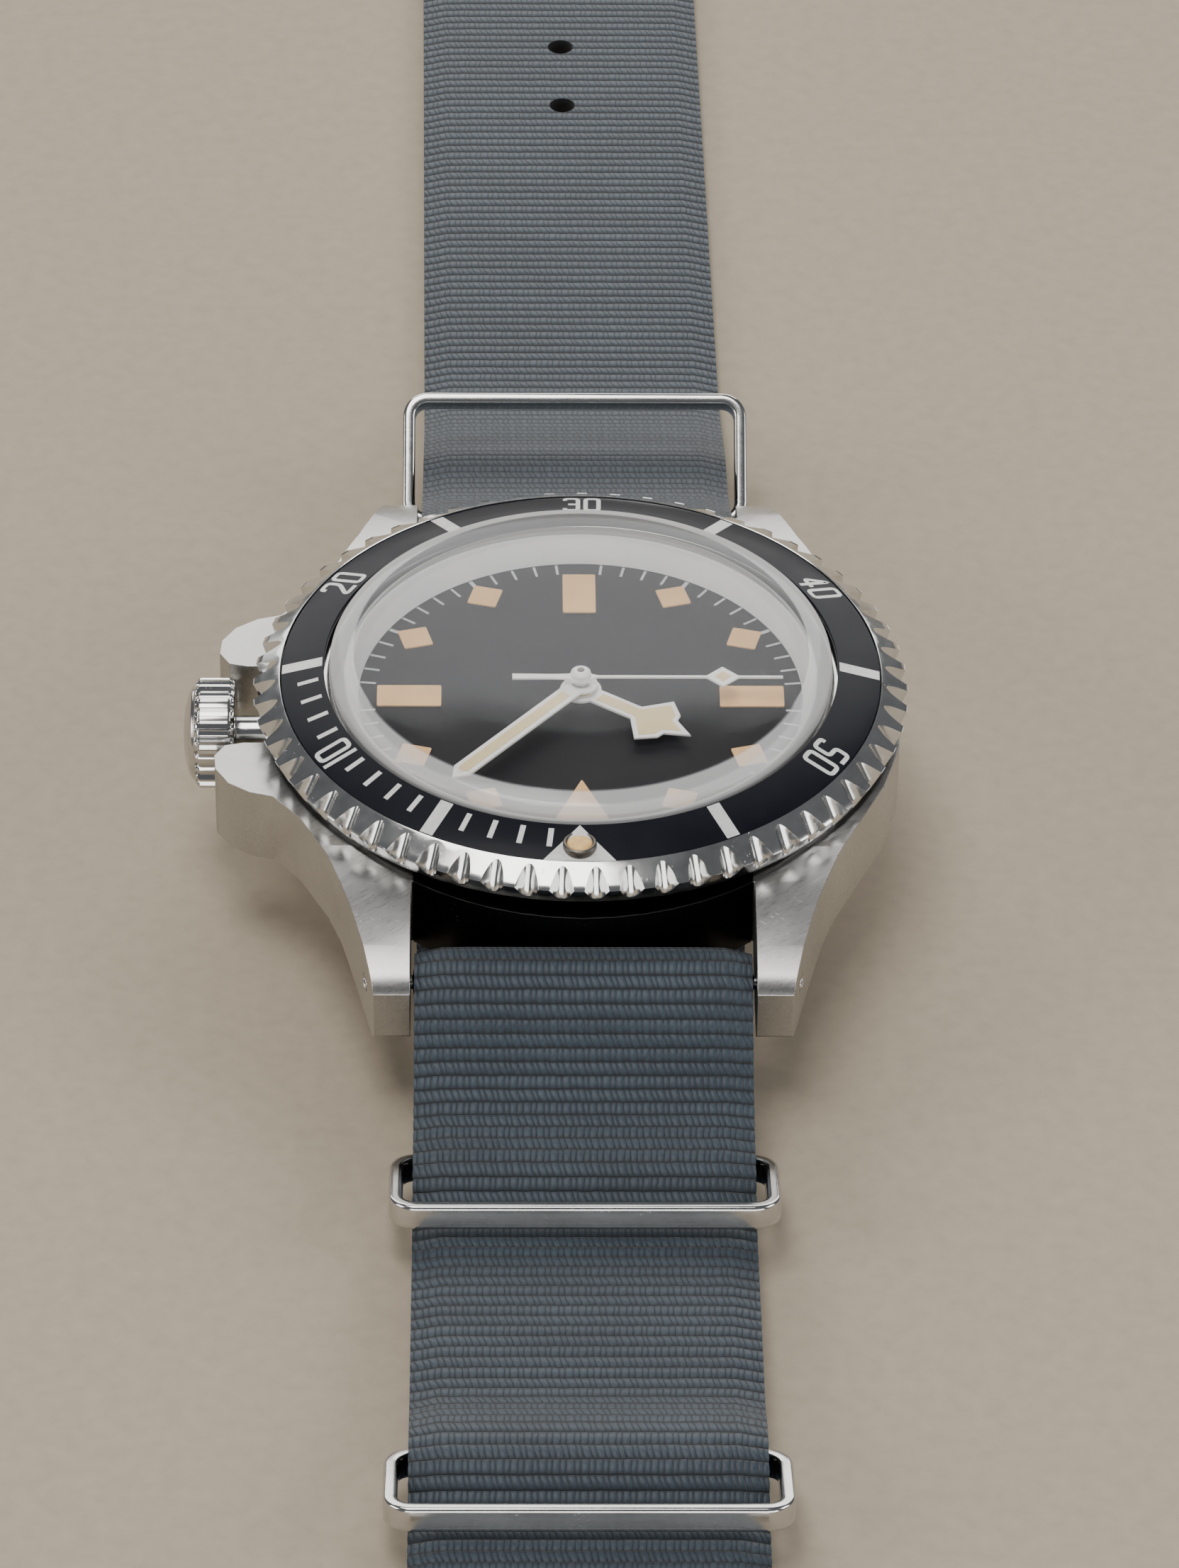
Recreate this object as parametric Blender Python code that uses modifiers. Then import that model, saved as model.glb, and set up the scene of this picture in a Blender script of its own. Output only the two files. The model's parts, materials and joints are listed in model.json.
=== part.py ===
"""A self-winding dive watch on a pull-through strap of woven nylon, piece by piece.

Every size below is in millimetres and is turned into metres where a mesh is made.
+Z is up through the dial, +Y points to 12 o'clock and +X to 3 o'clock and the crown.
The origin lies on the axis of the hands, on the surface that the strap rests on.
"""

from math import acos, atan2, ceil, cos, pi, radians, sin, sqrt

import bmesh
import bpy
from mathutils import Matrix

MM = 0.001
FACE_UP = (0, 0, 0)
ALONG_X = (0, pi / 2, 0)

# The case and what closes it
CASE_TOP = 11.2
CASE_BOTTOM = 6.4
CASE_RADIUS = 19.25
CASE_BORE = 14.0
NECK_RADIUS = 14.2
NECK_TOP = 12.4
LUG_GAP = 20.0
LUG_TIP = 23.8
LUG_TIP_WIDTH = 12.1
SPRING_BAR_Y = 21.5
SPRING_BAR_Z = 7.5
SPRING_BAR_RADIUS = 0.75
BACK_BOTTOM = 2.9
BACK_FLOOR = 3.8

# The turning bezel
BEZEL_RADIUS = 19.6
BEZEL_INNER = 16.45
BEZEL_BOTTOM = 11.6
GROOVES = 60
GROOVE_DEPTH = 0.85
INSERT_RADIUS = 17.93
BEZEL_TURN = radians(-0.75)
PIP_RADIUS = 0.95
PIP_CENTRE = 16.75

# The crown and its stem
STEM_Z = 9.0
STEM_RADIUS = 0.45
CROWN_RADIUS = 3.3
CROWN_INNER_FACE = 20.7
CROWN_OUTER_FACE = 23.1
CROWN_FLUTES = 24

# The dial, the hands and where they point at rest
DIAL_BOTTOM = 11.4
DIAL_TOP = 11.8
HOUR_TURN = radians(-304.5)
MINUTE_TURN = radians(-40)
SECOND_TURN = radians(-270)

# The movement, measured from the case back towards the dial
PLATE_RADIUS = 12.8
PLATE_LOW, PLATE_HIGH = 9.9, 10.7
BRIDGE_LOW, BRIDGE_HIGH = 6.5, 7.2
RATCHET_LOW, RATCHET_HIGH = 6.2, 6.4
MESH_PLAY = 0.08
PIVOT_RADIUS = 0.16
PIVOT_HOLE = 0.3

# The strap and its three steel keepers
STRAP_WIDTH = 19.6
STRAP_THICKNESS = 1.2
HALF_THICK = STRAP_THICKNESS / 2
LAYER_GAP = 0.1
TAIL_TIP = -190.0
TAIL_START = -46.0
TAIL_SKEW = 0.0105
FIRST_HOLE, HOLE_STEP, HOLE_COUNT = -82.2, -7.7, 9
HOLE_RADIUS = 0.9
KEEPER_OUTER, KEEPER_BAND, KEEPER_THICK = 22.2, 1.5, 0.8
KEEPER_BAR_Z = 2.15
KEEPER_1_Y, KEEPER_2_Y, KEEPER_3_Y = 31.6, 55.7, -31.0
BUCKLE_Y, BUCKLE_Z = 77.0, 1.9
BUCKLE_WIDTH, BUCKLE_LENGTH, BUCKLE_RAIL = 26.0, 14.5, 1.8
TONGUE_RISE = 0.09
FOLD_END_Y, UNDER_START_Y = 42.6, 41.9

for old in list(bpy.data.objects):
    bpy.data.objects.remove(old, do_unlink=True)
PARTS = bpy.data.collections.new("dive_watch")
CUTTERS = bpy.data.collections.new("cutters")
for group in (PARTS, CUTTERS):
    bpy.context.scene.collection.children.link(group)


# ---------------------------------------------------------------- materials


def finish(name, colour, metallic, roughness):
    """A Principled material with one colour."""
    made = bpy.data.materials.new(name)
    made.use_nodes = True
    shader = made.node_tree.nodes["Principled BSDF"]
    shader.inputs["Base Color"].default_value = (*colour, 1)
    shader.inputs["Metallic"].default_value = metallic
    shader.inputs["Roughness"].default_value = roughness
    return made


STEEL = finish("brushed_steel", (0.62, 0.61, 0.59), 1, 0.32)
POLISHED = finish("polished_steel", (0.72, 0.71, 0.69), 1, 0.12)
BRASS = finish("gilt_brass", (0.80, 0.62, 0.32), 1, 0.3)
RHODIUM = finish("rhodium_plate", (0.60, 0.61, 0.63), 1, 0.28)
BLUED = finish("blued_spring_steel", (0.12, 0.16, 0.34), 1, 0.25)
BLACK = finish("black_dial", (0.015, 0.016, 0.02), 0, 0.5)
INSERT = finish("black_insert", (0.01, 0.012, 0.02), 0, 0.2)
LUME = finish("aged_lume", (0.85, 0.66, 0.40), 0, 0.7)
HAND = finish("white_hand", (0.85, 0.84, 0.80), 0.2, 0.35)
ACRYLIC = finish("clear_acrylic", (0.95, 0.97, 0.97), 0, 0.05)
RUBBER = finish("black_rubber", (0.02, 0.02, 0.02), 0, 0.7)
NYLON = finish("grey_blue_nylon", (0.10, 0.15, 0.20), 0, 0.85)


# ---------------------------------------------------------------- modelling helpers


def put(name, mesh, look, at, turn=FACE_UP):
    """Adds a mesh as a part, or as a hidden cutter where it has no look."""
    obj = bpy.data.objects.new(name, mesh)
    obj.location = [MM * value for value in at]
    obj.rotation_euler = turn
    if look is None:
        CUTTERS.objects.link(obj)
        obj.hide_render = True
        obj.display_type = "WIRE"
    else:
        PARTS.objects.link(obj)
        mesh.materials.clear()
        mesh.materials.append(look)
    return obj


def turned(name, look, profile, at=(0, 0, 0), turn=FACE_UP, steps=48, ring=True):
    """A profile of (radius, height) points turned about Z, closed on itself if it is a ring."""
    mesh = bpy.data.meshes.new(name)
    count = len(profile)
    edges = [(i, (i + 1) % count) for i in range(count if ring else count - 1)]
    mesh.from_pydata([(MM * r, 0, MM * z) for r, z in profile], edges, [])
    obj = put(name, mesh, look, at, turn)
    screw = obj.modifiers.new("Turn", "SCREW")
    screw.axis = "Z"
    screw.angle = 2 * pi
    screw.steps = steps
    screw.render_steps = steps
    screw.use_merge_vertices = True
    screw.merge_threshold = 1e-6
    screw.use_smooth_shade = False
    return obj


def slab(name, look, outlines, low, high, at=(0, 0), turn=FACE_UP, height=0):
    """A flat plate between two heights: the first outline is its edge and the others are holes."""
    curve = bpy.data.curves.new(name, "CURVE")
    curve.dimensions = "2D"
    curve.fill_mode = "BOTH"
    curve.extrude = MM * (high - low) / 2
    for outline in outlines:
        spline = curve.splines.new("POLY")
        spline.points.add(len(outline) - 1)
        spline.use_cyclic_u = True
        for point, (x, y) in zip(spline.points, outline):
            point.co = (MM * x, MM * y, 0, 1)
    drawn = bpy.data.objects.new(name + "_outline", curve)
    CUTTERS.objects.link(drawn)
    bpy.context.view_layer.update()
    graph = bpy.context.evaluated_depsgraph_get()
    mesh = bpy.data.meshes.new_from_object(drawn.evaluated_get(graph))
    bpy.data.objects.remove(drawn, do_unlink=True)
    work = bmesh.new()
    work.from_mesh(mesh)
    bmesh.ops.translate(work, verts=work.verts, vec=(0, 0, MM * (low + high) / 2))
    bmesh.ops.remove_doubles(work, verts=work.verts, dist=1e-7)
    bmesh.ops.recalc_face_normals(work, faces=work.faces)
    work.to_mesh(mesh)
    work.free()
    mesh.name = name
    return put(name, mesh, look, (at[0], at[1], height), turn)


def rod(name, look, radius, low, high, at=(0, 0, 0), turn=FACE_UP, sides=16):
    """A cylinder between two heights along its own Z."""
    mesh = bpy.data.meshes.new(name)
    work = bmesh.new()
    middle = Matrix.Translation((0, 0, MM * (low + high) / 2))
    bmesh.ops.create_cone(work, cap_ends=True, segments=sides, radius1=MM * radius,
                          radius2=MM * radius, depth=MM * (high - low), matrix=middle)
    work.to_mesh(mesh)
    work.free()
    return put(name, mesh, look, at, turn)


def block(name, look, low, high):
    """A box between two corners."""
    mesh = bpy.data.meshes.new(name)
    work = bmesh.new()
    bmesh.ops.create_cube(work, size=1)
    size = [MM * (b - a) for a, b in zip(low, high)]
    bmesh.ops.scale(work, verts=work.verts, vec=size)
    work.to_mesh(mesh)
    work.free()
    return put(name, mesh, look, [(a + b) / 2 for a, b in zip(low, high)])


def combine(obj, operation, others, solver="EXACT"):
    """Joins closed meshes to a part, cuts them out of it, or keeps what they share with it."""
    for other in others:
        step = obj.modifiers.new(f"{operation.title()} {other.name}", "BOOLEAN")
        step.operation = operation
        step.object = other
        step.solver = solver
    return obj


def circle(radius, centre=(0, 0), points=24, start=0.0):
    angles = [start + 2 * pi * i / points for i in range(points)]
    return [(centre[0] + radius * cos(a), centre[1] + radius * sin(a)) for a in angles]


def arc(radius, first, last, points, centre=(0, 0)):
    """Points along an arc, from one angle to another in radians."""
    angles = [first + (last - first) * i / (points - 1) for i in range(points)]
    return [(centre[0] + radius * cos(a), centre[1] + radius * sin(a)) for a in angles]


def wrapped(*discs, points=14):
    """The outline of a band stretched round discs given as (x, y, radius)."""
    dots = sorted(dot for x, y, r in discs for dot in circle(r, (x, y), points))

    def side(ordered):
        chain = []
        for x, y in ordered:
            while len(chain) > 1:
                (ax, ay), (bx, by) = chain[-2], chain[-1]
                if (bx - ax) * (y - ay) - (by - ay) * (x - ax) > 1e-9:
                    break
                chain.pop()
            chain.append((x, y))
        return chain[:-1]

    return side(dots) + side(dots[::-1])


# ---------------------------------------------------------------- case


def flank_outline():
    """The left half of the case seen from above, from the 12 o'clock lug round to 6 o'clock."""
    down = [(12.1, LUG_TIP), (12.75, 21.0), (13.6, 18.0), (14.9, 14.3), (16.3, 11.2), (17.9, 7.8),
            (18.95, 4.2), (19.3, 0)]
    return [(-x, y) for x, y in down] + [(-x, -y) for x, y in down[-2::-1]]


def guard_outline():
    """The right half, with the two guards that stand either side of the crown."""
    lobe = [(18.2, 8.9), (19.6, 8.5), (20.9, 7.6), (21.7, 6.3), (21.8, 5.0), (21.2, 4.0), (20.1, 3.75),
            (18.7, 3.75)]
    lug = [(12.1, LUG_TIP), (12.75, 21.0), (13.6, 18.0), (14.9, 14.3), (16.6, 10.9)]
    upper = lug + lobe
    return [(x, -y) for x, y in upper] + [(x, y) for x, y in upper[::-1]]


def case_outline():
    """The case from above: both flanks, the lug faces and the round wall between the lugs."""
    half_gap = LUG_GAP / 2
    meet = atan2(sqrt(CASE_RADIUS**2 - half_gap**2), half_gap)
    top_wall = arc(CASE_RADIUS, meet, pi - meet, 13)
    bottom_wall = arc(CASE_RADIUS, pi + meet, 2 * pi - meet, 13)
    left = flank_outline()
    right = guard_outline()
    return ([(half_gap, LUG_TIP)] + top_wall + [(-half_gap, LUG_TIP)] + left
            + [(-half_gap, -LUG_TIP)] + bottom_wall + [(half_gap, -LUG_TIP)] + right)


def case_side_outline():
    """The case from the side: the lugs fall towards their tips above and below."""
    upper = [(0, CASE_TOP), (13.5, CASE_TOP), (16.5, 10.95), (19.0, 10.5), (21.2, 9.95), (22.6, 9.4),
             (23.5, 8.9), (23.9, 8.3)]
    lower = [(23.9, 5.5), (23.4, 5.0), (21.0, 5.1), (18.0, 5.8), (16.6, CASE_BOTTOM)]
    half = upper + lower
    return half[1:] + [(-y, z) for y, z in half[:0:-1]]


def make_case():
    body = slab("case_body", STEEL, [case_outline()], 4.5, 11.6)
    side = slab("case_side", None, [case_side_outline()], -25, 25, turn=(pi / 2, 0, pi / 2))
    neck = rod("case_neck", None, NECK_RADIUS, 10.4, NECK_TOP, sides=48)
    bore = turned("case_bore", None, [(0, 13), (13.9, 13), (13.9, 9.5), (CASE_BORE, 9.5), (CASE_BORE, 6),
                                      (0, 6)], steps=48, ring=False)
    stem_hole = rod("case_stem_hole", None, 1.15, 12, 22, at=(0, 0, STEM_Z), turn=ALONG_X)
    bar_holes = [rod(f"case_bar_hole_{i}", None, 0.55, -15, 15, at=(0, y, SPRING_BAR_Z), turn=ALONG_X)
                 for i, y in enumerate((SPRING_BAR_Y, -SPRING_BAR_Y))]
    combine(body, "INTERSECT", [side])
    combine(body, "UNION", [neck])
    combine(body, "DIFFERENCE", [bore, stem_hole, *bar_holes])


def make_case_back():
    turned("case_back", POLISHED, [(0, BACK_FLOOR), (13.1, BACK_FLOOR), (13.3, 4.2), (13.3, 7.4),
                                   (13.85, 7.4), (13.85, 6.3), (14.2, 6.3), (14.2, 5.8), (15.0, 5.8),
                                   (15.0, 6.3), (16.1, 6.3), (16.1, 4.9), (15.2, 4.1), (13.4, BACK_BOTTOM),
                                   (0, BACK_BOTTOM)], steps=48, ring=False)
    turned("case_back_gasket", RUBBER, [(14.35, 6.3), (14.85, 6.3), (14.85, 5.9), (14.35, 5.9)], steps=36)


def make_spring_bars():
    """A telescopic bar between each pair of lugs, its ends in the lugs' holes."""
    shape = [(0, 12.6), (0.4, 12.6), (0.4, 9.85), (SPRING_BAR_RADIUS, 9.8), (SPRING_BAR_RADIUS, -9.8),
             (0.4, -9.85), (0.4, -12.6), (0, -12.6)]
    for name, y in (("spring_bar_12", SPRING_BAR_Y), ("spring_bar_6", -SPRING_BAR_Y)):
        turned(name, STEEL, shape, at=(0, y, SPRING_BAR_Z), turn=ALONG_X, steps=16, ring=False)


def make_crystal():
    turned("crystal", ACRYLIC, [(0, 16.7), (5, 16.6), (10, 16.15), (13.2, 15.6), (14.6, 15.1), (15.05, 14.6),
                                (15.05, 11.3), (14.25, 11.3), (14.25, 13.8), (13.8, 14.4), (12.5, 14.75),
                                (8, 15.3), (0, 15.6)], steps=48, ring=False)
    turned("crystal_ring", POLISHED, [(15.12, 13.4), (16.35, 13.4), (16.35, 11.3), (15.12, 11.3)], steps=48)
    turned("inner_flange", POLISHED, [(13.95, 13.5), (14.1, 13.5), (14.1, 12.5), (13.8, 12.5), (13.8, 11.85),
                                      (13.35, 11.85)], steps=48)


# ---------------------------------------------------------------- bezel


def make_bezel_ring():
    """A turned ring whose outer wall is pressed in at every groove, less and less towards the insert."""
    wall = [(18.05, 13.6), (BEZEL_RADIUS, 12.75), (BEZEL_RADIUS, 11.9), (19.35, BEZEL_BOTTOM)]
    reach = [0.0, 1.0, 1.0, 1.0]
    seat = [(BEZEL_INNER, BEZEL_BOTTOM), (BEZEL_INNER, 13.45), (17.98, 13.05)]
    across = (0.0, 1.0, 1.0)
    count = len(across) * GROOVES
    work = bmesh.new()
    rings = []
    for column in range(count):
        angle = pi / 2 + 2 * pi * column / count
        press = GROOVE_DEPTH * across[column % len(across)]
        section = [(r - press * depth, z) for (r, z), depth in zip(wall, reach)] + seat
        rings.append([work.verts.new((MM * r * cos(angle), MM * r * sin(angle), MM * z)) for r, z in section])
    for here, there in zip(rings, rings[1:] + rings[:1]):
        for i in range(len(here)):
            j = (i + 1) % len(here)
            work.faces.new((here[i], here[j], there[j], there[i]))
    bmesh.ops.recalc_face_normals(work, faces=work.faces)
    mesh = bpy.data.meshes.new("bezel_ring")
    work.to_mesh(mesh)
    work.free()
    put("bezel_ring", mesh, POLISHED, (0, 0, 0), (0, 0, BEZEL_TURN))


def make_bezel():
    make_bezel_ring()
    insert = turned("bezel_insert", INSERT, [(15.35, 14.3), (INSERT_RADIUS, 13.58), (INSERT_RADIUS, 13.2),
                                             (15.35, 13.92)], turn=(0, 0, BEZEL_TURN), steps=60)
    pip_at = (-PIP_CENTRE * sin(BEZEL_TURN), PIP_CENTRE * cos(BEZEL_TURN), 0)
    hole = rod("insert_pip_hole", None, PIP_RADIUS + 0.06, 12, 16, at=pip_at, sides=20)
    combine(insert, "DIFFERENCE", [hole])
    rod("bezel_pip", LUME, PIP_RADIUS, 13.55, 14.1, at=pip_at, sides=20)
    wave = [(16.6, 11.45), (18.7, 11.45), (18.7, 11.3), (16.6, 11.3)]
    turned("bezel_click_spring", STEEL, wave, steps=48)


# ---------------------------------------------------------------- crown


def fluted(radius, depth, flutes):
    """A round outline with flutes: two points on each land and one in each flute."""
    step = 2 * pi / flutes
    outline = []
    for i in range(flutes):
        for part, inset in ((-0.24, 0), (0.24, 0), (0.38, depth), (0.62, depth)):
            angle = (i + part) * step
            outline.append(((radius - inset) * cos(angle), (radius - inset) * sin(angle)))
    return outline


def make_crown():
    stem_at = (0, 0, STEM_Z)
    outline = fluted(CROWN_RADIUS, 0.3, CROWN_FLUTES)
    crown = slab("crown", POLISHED, [outline], CROWN_INNER_FACE, CROWN_OUTER_FACE, turn=ALONG_X,
                 height=STEM_Z)
    cap = turned("crown_cap", None, [(0, 23.85), (1.5, 23.75), (2.5, 23.4), (2.8, 23.1), (2.8, 22.8),
                                     (0, 22.8)], at=stem_at, turn=ALONG_X, steps=32, ring=False)
    bore = rod("crown_bore", None, 1.25, 20, 22.5, at=stem_at, turn=ALONG_X)
    combine(crown, "UNION", [cap])
    combine(crown, "DIFFERENCE", [bore])
    turned("crown_tube", STEEL, [(0.7, 21.9), (1.05, 21.9), (1.05, 14.3), (0.7, 14.3)], at=stem_at,
           turn=ALONG_X, steps=20)
    turned("crown_gasket", RUBBER, [(0.55, 22.35), (1.15, 22.35), (1.15, 22.0), (0.55, 22.0)], at=stem_at,
           turn=ALONG_X, steps=20)
    rod("winding_stem", STEEL, STEM_RADIUS, 7.2, 22.4, at=stem_at, turn=ALONG_X, sides=12)


# ---------------------------------------------------------------- gears


def gear_outline(teeth, pitch_radius, phase=0.0):
    """A toothed outline with a point on each tip and in each root, a tip lying at the phase."""
    module = 2 * pitch_radius / teeth
    outline = []
    for i in range(2 * teeth):
        angle = phase + pi * i / teeth
        radius = pitch_radius + (0.45 if i % 2 == 0 else -0.55) * module
        outline.append((radius * cos(angle), radius * sin(angle)))
    return outline


def phase_in_mesh(phase, teeth, direction, other_teeth):
    """Turns the gear that lies in this direction so that its gap meets the first gear's tooth."""
    tooth_offset = (phase - direction) * teeth / (2 * pi)
    return direction + pi - (tooth_offset + 0.5) * 2 * pi / other_teeth


def spot(start, distance, direction):
    """The place at this distance from another, in a direction in radians."""
    return (start[0] + distance * cos(direction), start[1] + distance * sin(direction))


CENTRE = (0.0, 0.0)
BARREL_WAY, THIRD_WAY, FOURTH_WAY, ESCAPE_WAY = radians(60), radians(200), radians(-60), radians(-10)
MINUTE_WHEEL_WAY, CROWN_WHEEL_WAY = radians(-20), radians(-28)
BARREL_PITCH, BARREL_TEETH, CENTRE_PINION_TEETH = 4.9, 60, 10
CENTRE_WHEEL_PITCH, CENTRE_WHEEL_TEETH, THIRD_PINION_TEETH = 4.6, 56, 7
DRIVE_PITCH, DRIVE_TEETH, SECONDS_PINION_TEETH = 4.566, 45, 6
THIRD_WHEEL_PITCH, THIRD_WHEEL_TEETH, FOURTH_PINION_TEETH = 2.9, 45, 6
FOURTH_WHEEL_PITCH, FOURTH_WHEEL_TEETH, ESCAPE_PINION_TEETH = 2.7, 60, 6
CANNON_PITCH, CANNON_TEETH, MINUTE_WHEEL_TEETH = 0.72, 12, 36
MINUTE_PINION_PITCH, MINUTE_PINION_TEETH, HOUR_WHEEL_TEETH = 0.576, 9, 36
RATCHET_PITCH, RATCHET_TEETH, CROWN_WHEEL_TEETH = 4.3, 56, 27
STEM_PINION_TEETH = 12


def apart(pitch, teeth, other_teeth):
    """The distance between the centres of two gears in mesh, with a little play."""
    return pitch * (teeth + other_teeth) / teeth + MESH_PLAY


BARREL = spot(CENTRE, apart(BARREL_PITCH, BARREL_TEETH, CENTRE_PINION_TEETH), BARREL_WAY)
THIRD = spot(CENTRE, apart(CENTRE_WHEEL_PITCH, CENTRE_WHEEL_TEETH, THIRD_PINION_TEETH), THIRD_WAY)
FOURTH = spot(THIRD, apart(THIRD_WHEEL_PITCH, THIRD_WHEEL_TEETH, FOURTH_PINION_TEETH), FOURTH_WAY)
ESCAPE = spot(FOURTH, apart(FOURTH_WHEEL_PITCH, FOURTH_WHEEL_TEETH, ESCAPE_PINION_TEETH), ESCAPE_WAY)
MINUTE_WHEEL = spot(CENTRE, apart(CANNON_PITCH, CANNON_TEETH, MINUTE_WHEEL_TEETH), MINUTE_WHEEL_WAY)
CROWN_WHEEL = spot(BARREL, apart(RATCHET_PITCH, RATCHET_TEETH, CROWN_WHEEL_TEETH), CROWN_WHEEL_WAY)
BALANCE = (4.25, -6.45)
PALLET = (2.15, -5.85)
CLICK = (-2.6, 8.0)
SETTING_LEVER = (10.9, -2.7)
CROWN_WHEEL_HUB = 1.25


def spokes(inner, outer):
    """Four round holes that lighten a wheel between two radii."""
    radius = (outer - inner) / 2
    return [circle(radius, spot(CENTRE, (inner + outer) / 2, radians(45 + 90 * i)), 10) for i in range(4)]


def wheel(name, look, at, low, high, teeth, pitch, phase=0.0, hole=None, open_to=None):
    """A toothed plate, drilled for its arbor and, where it is large, lightened by four holes."""
    outlines = [gear_outline(teeth, pitch, phase)]
    if hole:
        outlines.append(circle(hole, points=12))
    if open_to:
        outlines += spokes(open_to, pitch * 0.82)
    return slab(name, look, outlines, low, high, at)


# ---------------------------------------------------------------- hands and motion work


def pencil_hand(half_width, shoulder, tip, hub):
    """A hand along +Y with straight sides, a pointed tip and a round hub."""
    start = acos(half_width / hub)
    round_hub = arc(hub, pi - start, 2 * pi + start, 14)
    return round_hub + [(half_width, shoulder), (0, tip), (-half_width, shoulder)]


def square_head_hand():
    """A short hand along +Y whose head is a square standing on its corner, with a pointed end."""
    hub = 1.25
    half = 0.62
    start = acos(half / hub)
    head = [(half, 4.0), (2.15, 5.3), (1.25, 6.35), (0.75, 6.45), (0, 7.9)]
    left = [(-x, y) for x, y in head[-2::-1]]
    return arc(hub, pi - start, 2 * pi + start, 14) + head + left


def seconds_hand_outline():
    """A thin hand along +Y with a small diamond near its end and a thicker tail."""
    fine = 0.11
    right = [(0.28, -4.1), (0.28, -1.6), (0.3, -0.6), (0.62, 0), (0.3, 0.6), (fine, 1.0), (fine, 7.7),
             (0.8, 8.5), (fine, 9.3), (fine, 12.1)]
    return right + [(-x, y) for x, y in right[::-1]]


def make_hands():
    slab("hour_hand", HAND, [square_head_hand(), circle(0.8, points=16)], 12.25, 12.4,
         turn=(0, 0, HOUR_TURN))
    slab("minute_hand", HAND, [pencil_hand(0.62, 10.3, 11.9, 1.0), circle(0.6, points=16)], 12.7, 12.85,
         turn=(0, 0, MINUTE_TURN))
    hand = slab("seconds_hand", HAND, [seconds_hand_outline()], 13.25, 13.37, turn=(0, 0, SECOND_TURN))
    boss = rod("seconds_boss", None, 0.5, 13.2, 13.85)
    combine(hand, "UNION", [boss])


def make_motion_work():
    """The gears between the movement and the dial that slow the hour hand to a twelfth."""
    phase = phase_in_mesh(0, CANNON_TEETH, MINUTE_WHEEL_WAY, MINUTE_WHEEL_TEETH)
    small = phase_in_mesh(0, HOUR_WHEEL_TEETH, MINUTE_WHEEL_WAY, MINUTE_PINION_TEETH)
    minute_pitch = CANNON_PITCH * MINUTE_WHEEL_TEETH / CANNON_TEETH
    hour_pitch = MINUTE_PINION_PITCH * HOUR_WHEEL_TEETH / MINUTE_PINION_TEETH
    cannon = turned("cannon_pinion", STEEL, [(0.42, 12.9), (0.56, 12.9), (0.56, 10.82), (0.42, 10.82)],
                    steps=16)
    leaves = wheel("cannon_leaves", None, CENTRE, 10.82, 11.02, CANNON_TEETH, CANNON_PITCH, hole=0.49)
    combine(cannon, "UNION", [leaves])
    minute = wheel("minute_wheel", BRASS, MINUTE_WHEEL, 10.84, 11.0, MINUTE_WHEEL_TEETH, minute_pitch, phase)
    pinion = wheel("minute_pinion", None, MINUTE_WHEEL, 10.9, 11.32, MINUTE_PINION_TEETH,
                   MINUTE_PINION_PITCH, small)
    combine(minute, "UNION", [pinion])
    hour = turned("hour_wheel", BRASS, [(0.63, 12.45), (0.76, 12.45), (0.76, 11.12), (0.63, 11.12)],
                  steps=16)
    plate = wheel("hour_plate", None, CENTRE, 11.15, 11.3, HOUR_WHEEL_TEETH, hour_pitch, hole=0.7)
    combine(hour, "UNION", [plate])
    slab("dial", BLACK, [circle(13.75, points=72), circle(0.84, points=16)], DIAL_BOTTOM, DIAL_TOP)


# ---------------------------------------------------------------- movement


def pivot_holes(*places):
    return [circle(PIVOT_HOLE, place, 10) for place in places]


def make_plate():
    """The main plate, open where the winding parts sit and drilled for every arbor."""
    slot_half, slot_in = 1.75, 7.1
    edge = atan2(slot_half, sqrt(PLATE_RADIUS**2 - slot_half**2))
    rim = arc(PLATE_RADIUS, edge, 2 * pi - edge, 60)
    outline = rim + [(slot_in, -slot_half), (slot_in, slot_half)]
    holes = [circle(0.65, points=16), circle(0.85, BARREL, 12)]
    holes += pivot_holes(THIRD, FOURTH, ESCAPE, PALLET, BALANCE)
    slab("main_plate", RHODIUM, [outline, *holes], PLATE_LOW, PLATE_HIGH)
    ring_in, ring_out, open_half = 12.95, 13.8, radians(9)
    ring = arc(ring_out, open_half, 2 * pi - open_half, 48) + arc(ring_in, 2 * pi - open_half, open_half, 48)
    slab("movement_ring", RHODIUM, [ring], 9.0, 10.6)
    for name, way in (("casing_clamp_1", radians(90)), ("casing_clamp_2", radians(225))):
        x, y = spot(CENTRE, 12.9, way)
        rod(name, STEEL, 0.85, 8.5, 8.9, at=(x, y, 0), sides=12)


def bridge(name, outline, holes, pillars, low=BRIDGE_LOW, high=BRIDGE_HIGH, foot=PLATE_LOW - 0.1,
           width=0.6):
    """A flat bridge with pillars that stand against the next plate."""
    plate = slab(name, RHODIUM, [outline, *holes], low, high)
    posts = [rod(f"{name}_pillar_{i}", None, width, (low + high) / 2, foot, at=(x, y, 0), sides=10)
             for i, (x, y) in enumerate(pillars)]
    return combine(plate, "UNION", posts)


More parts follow.
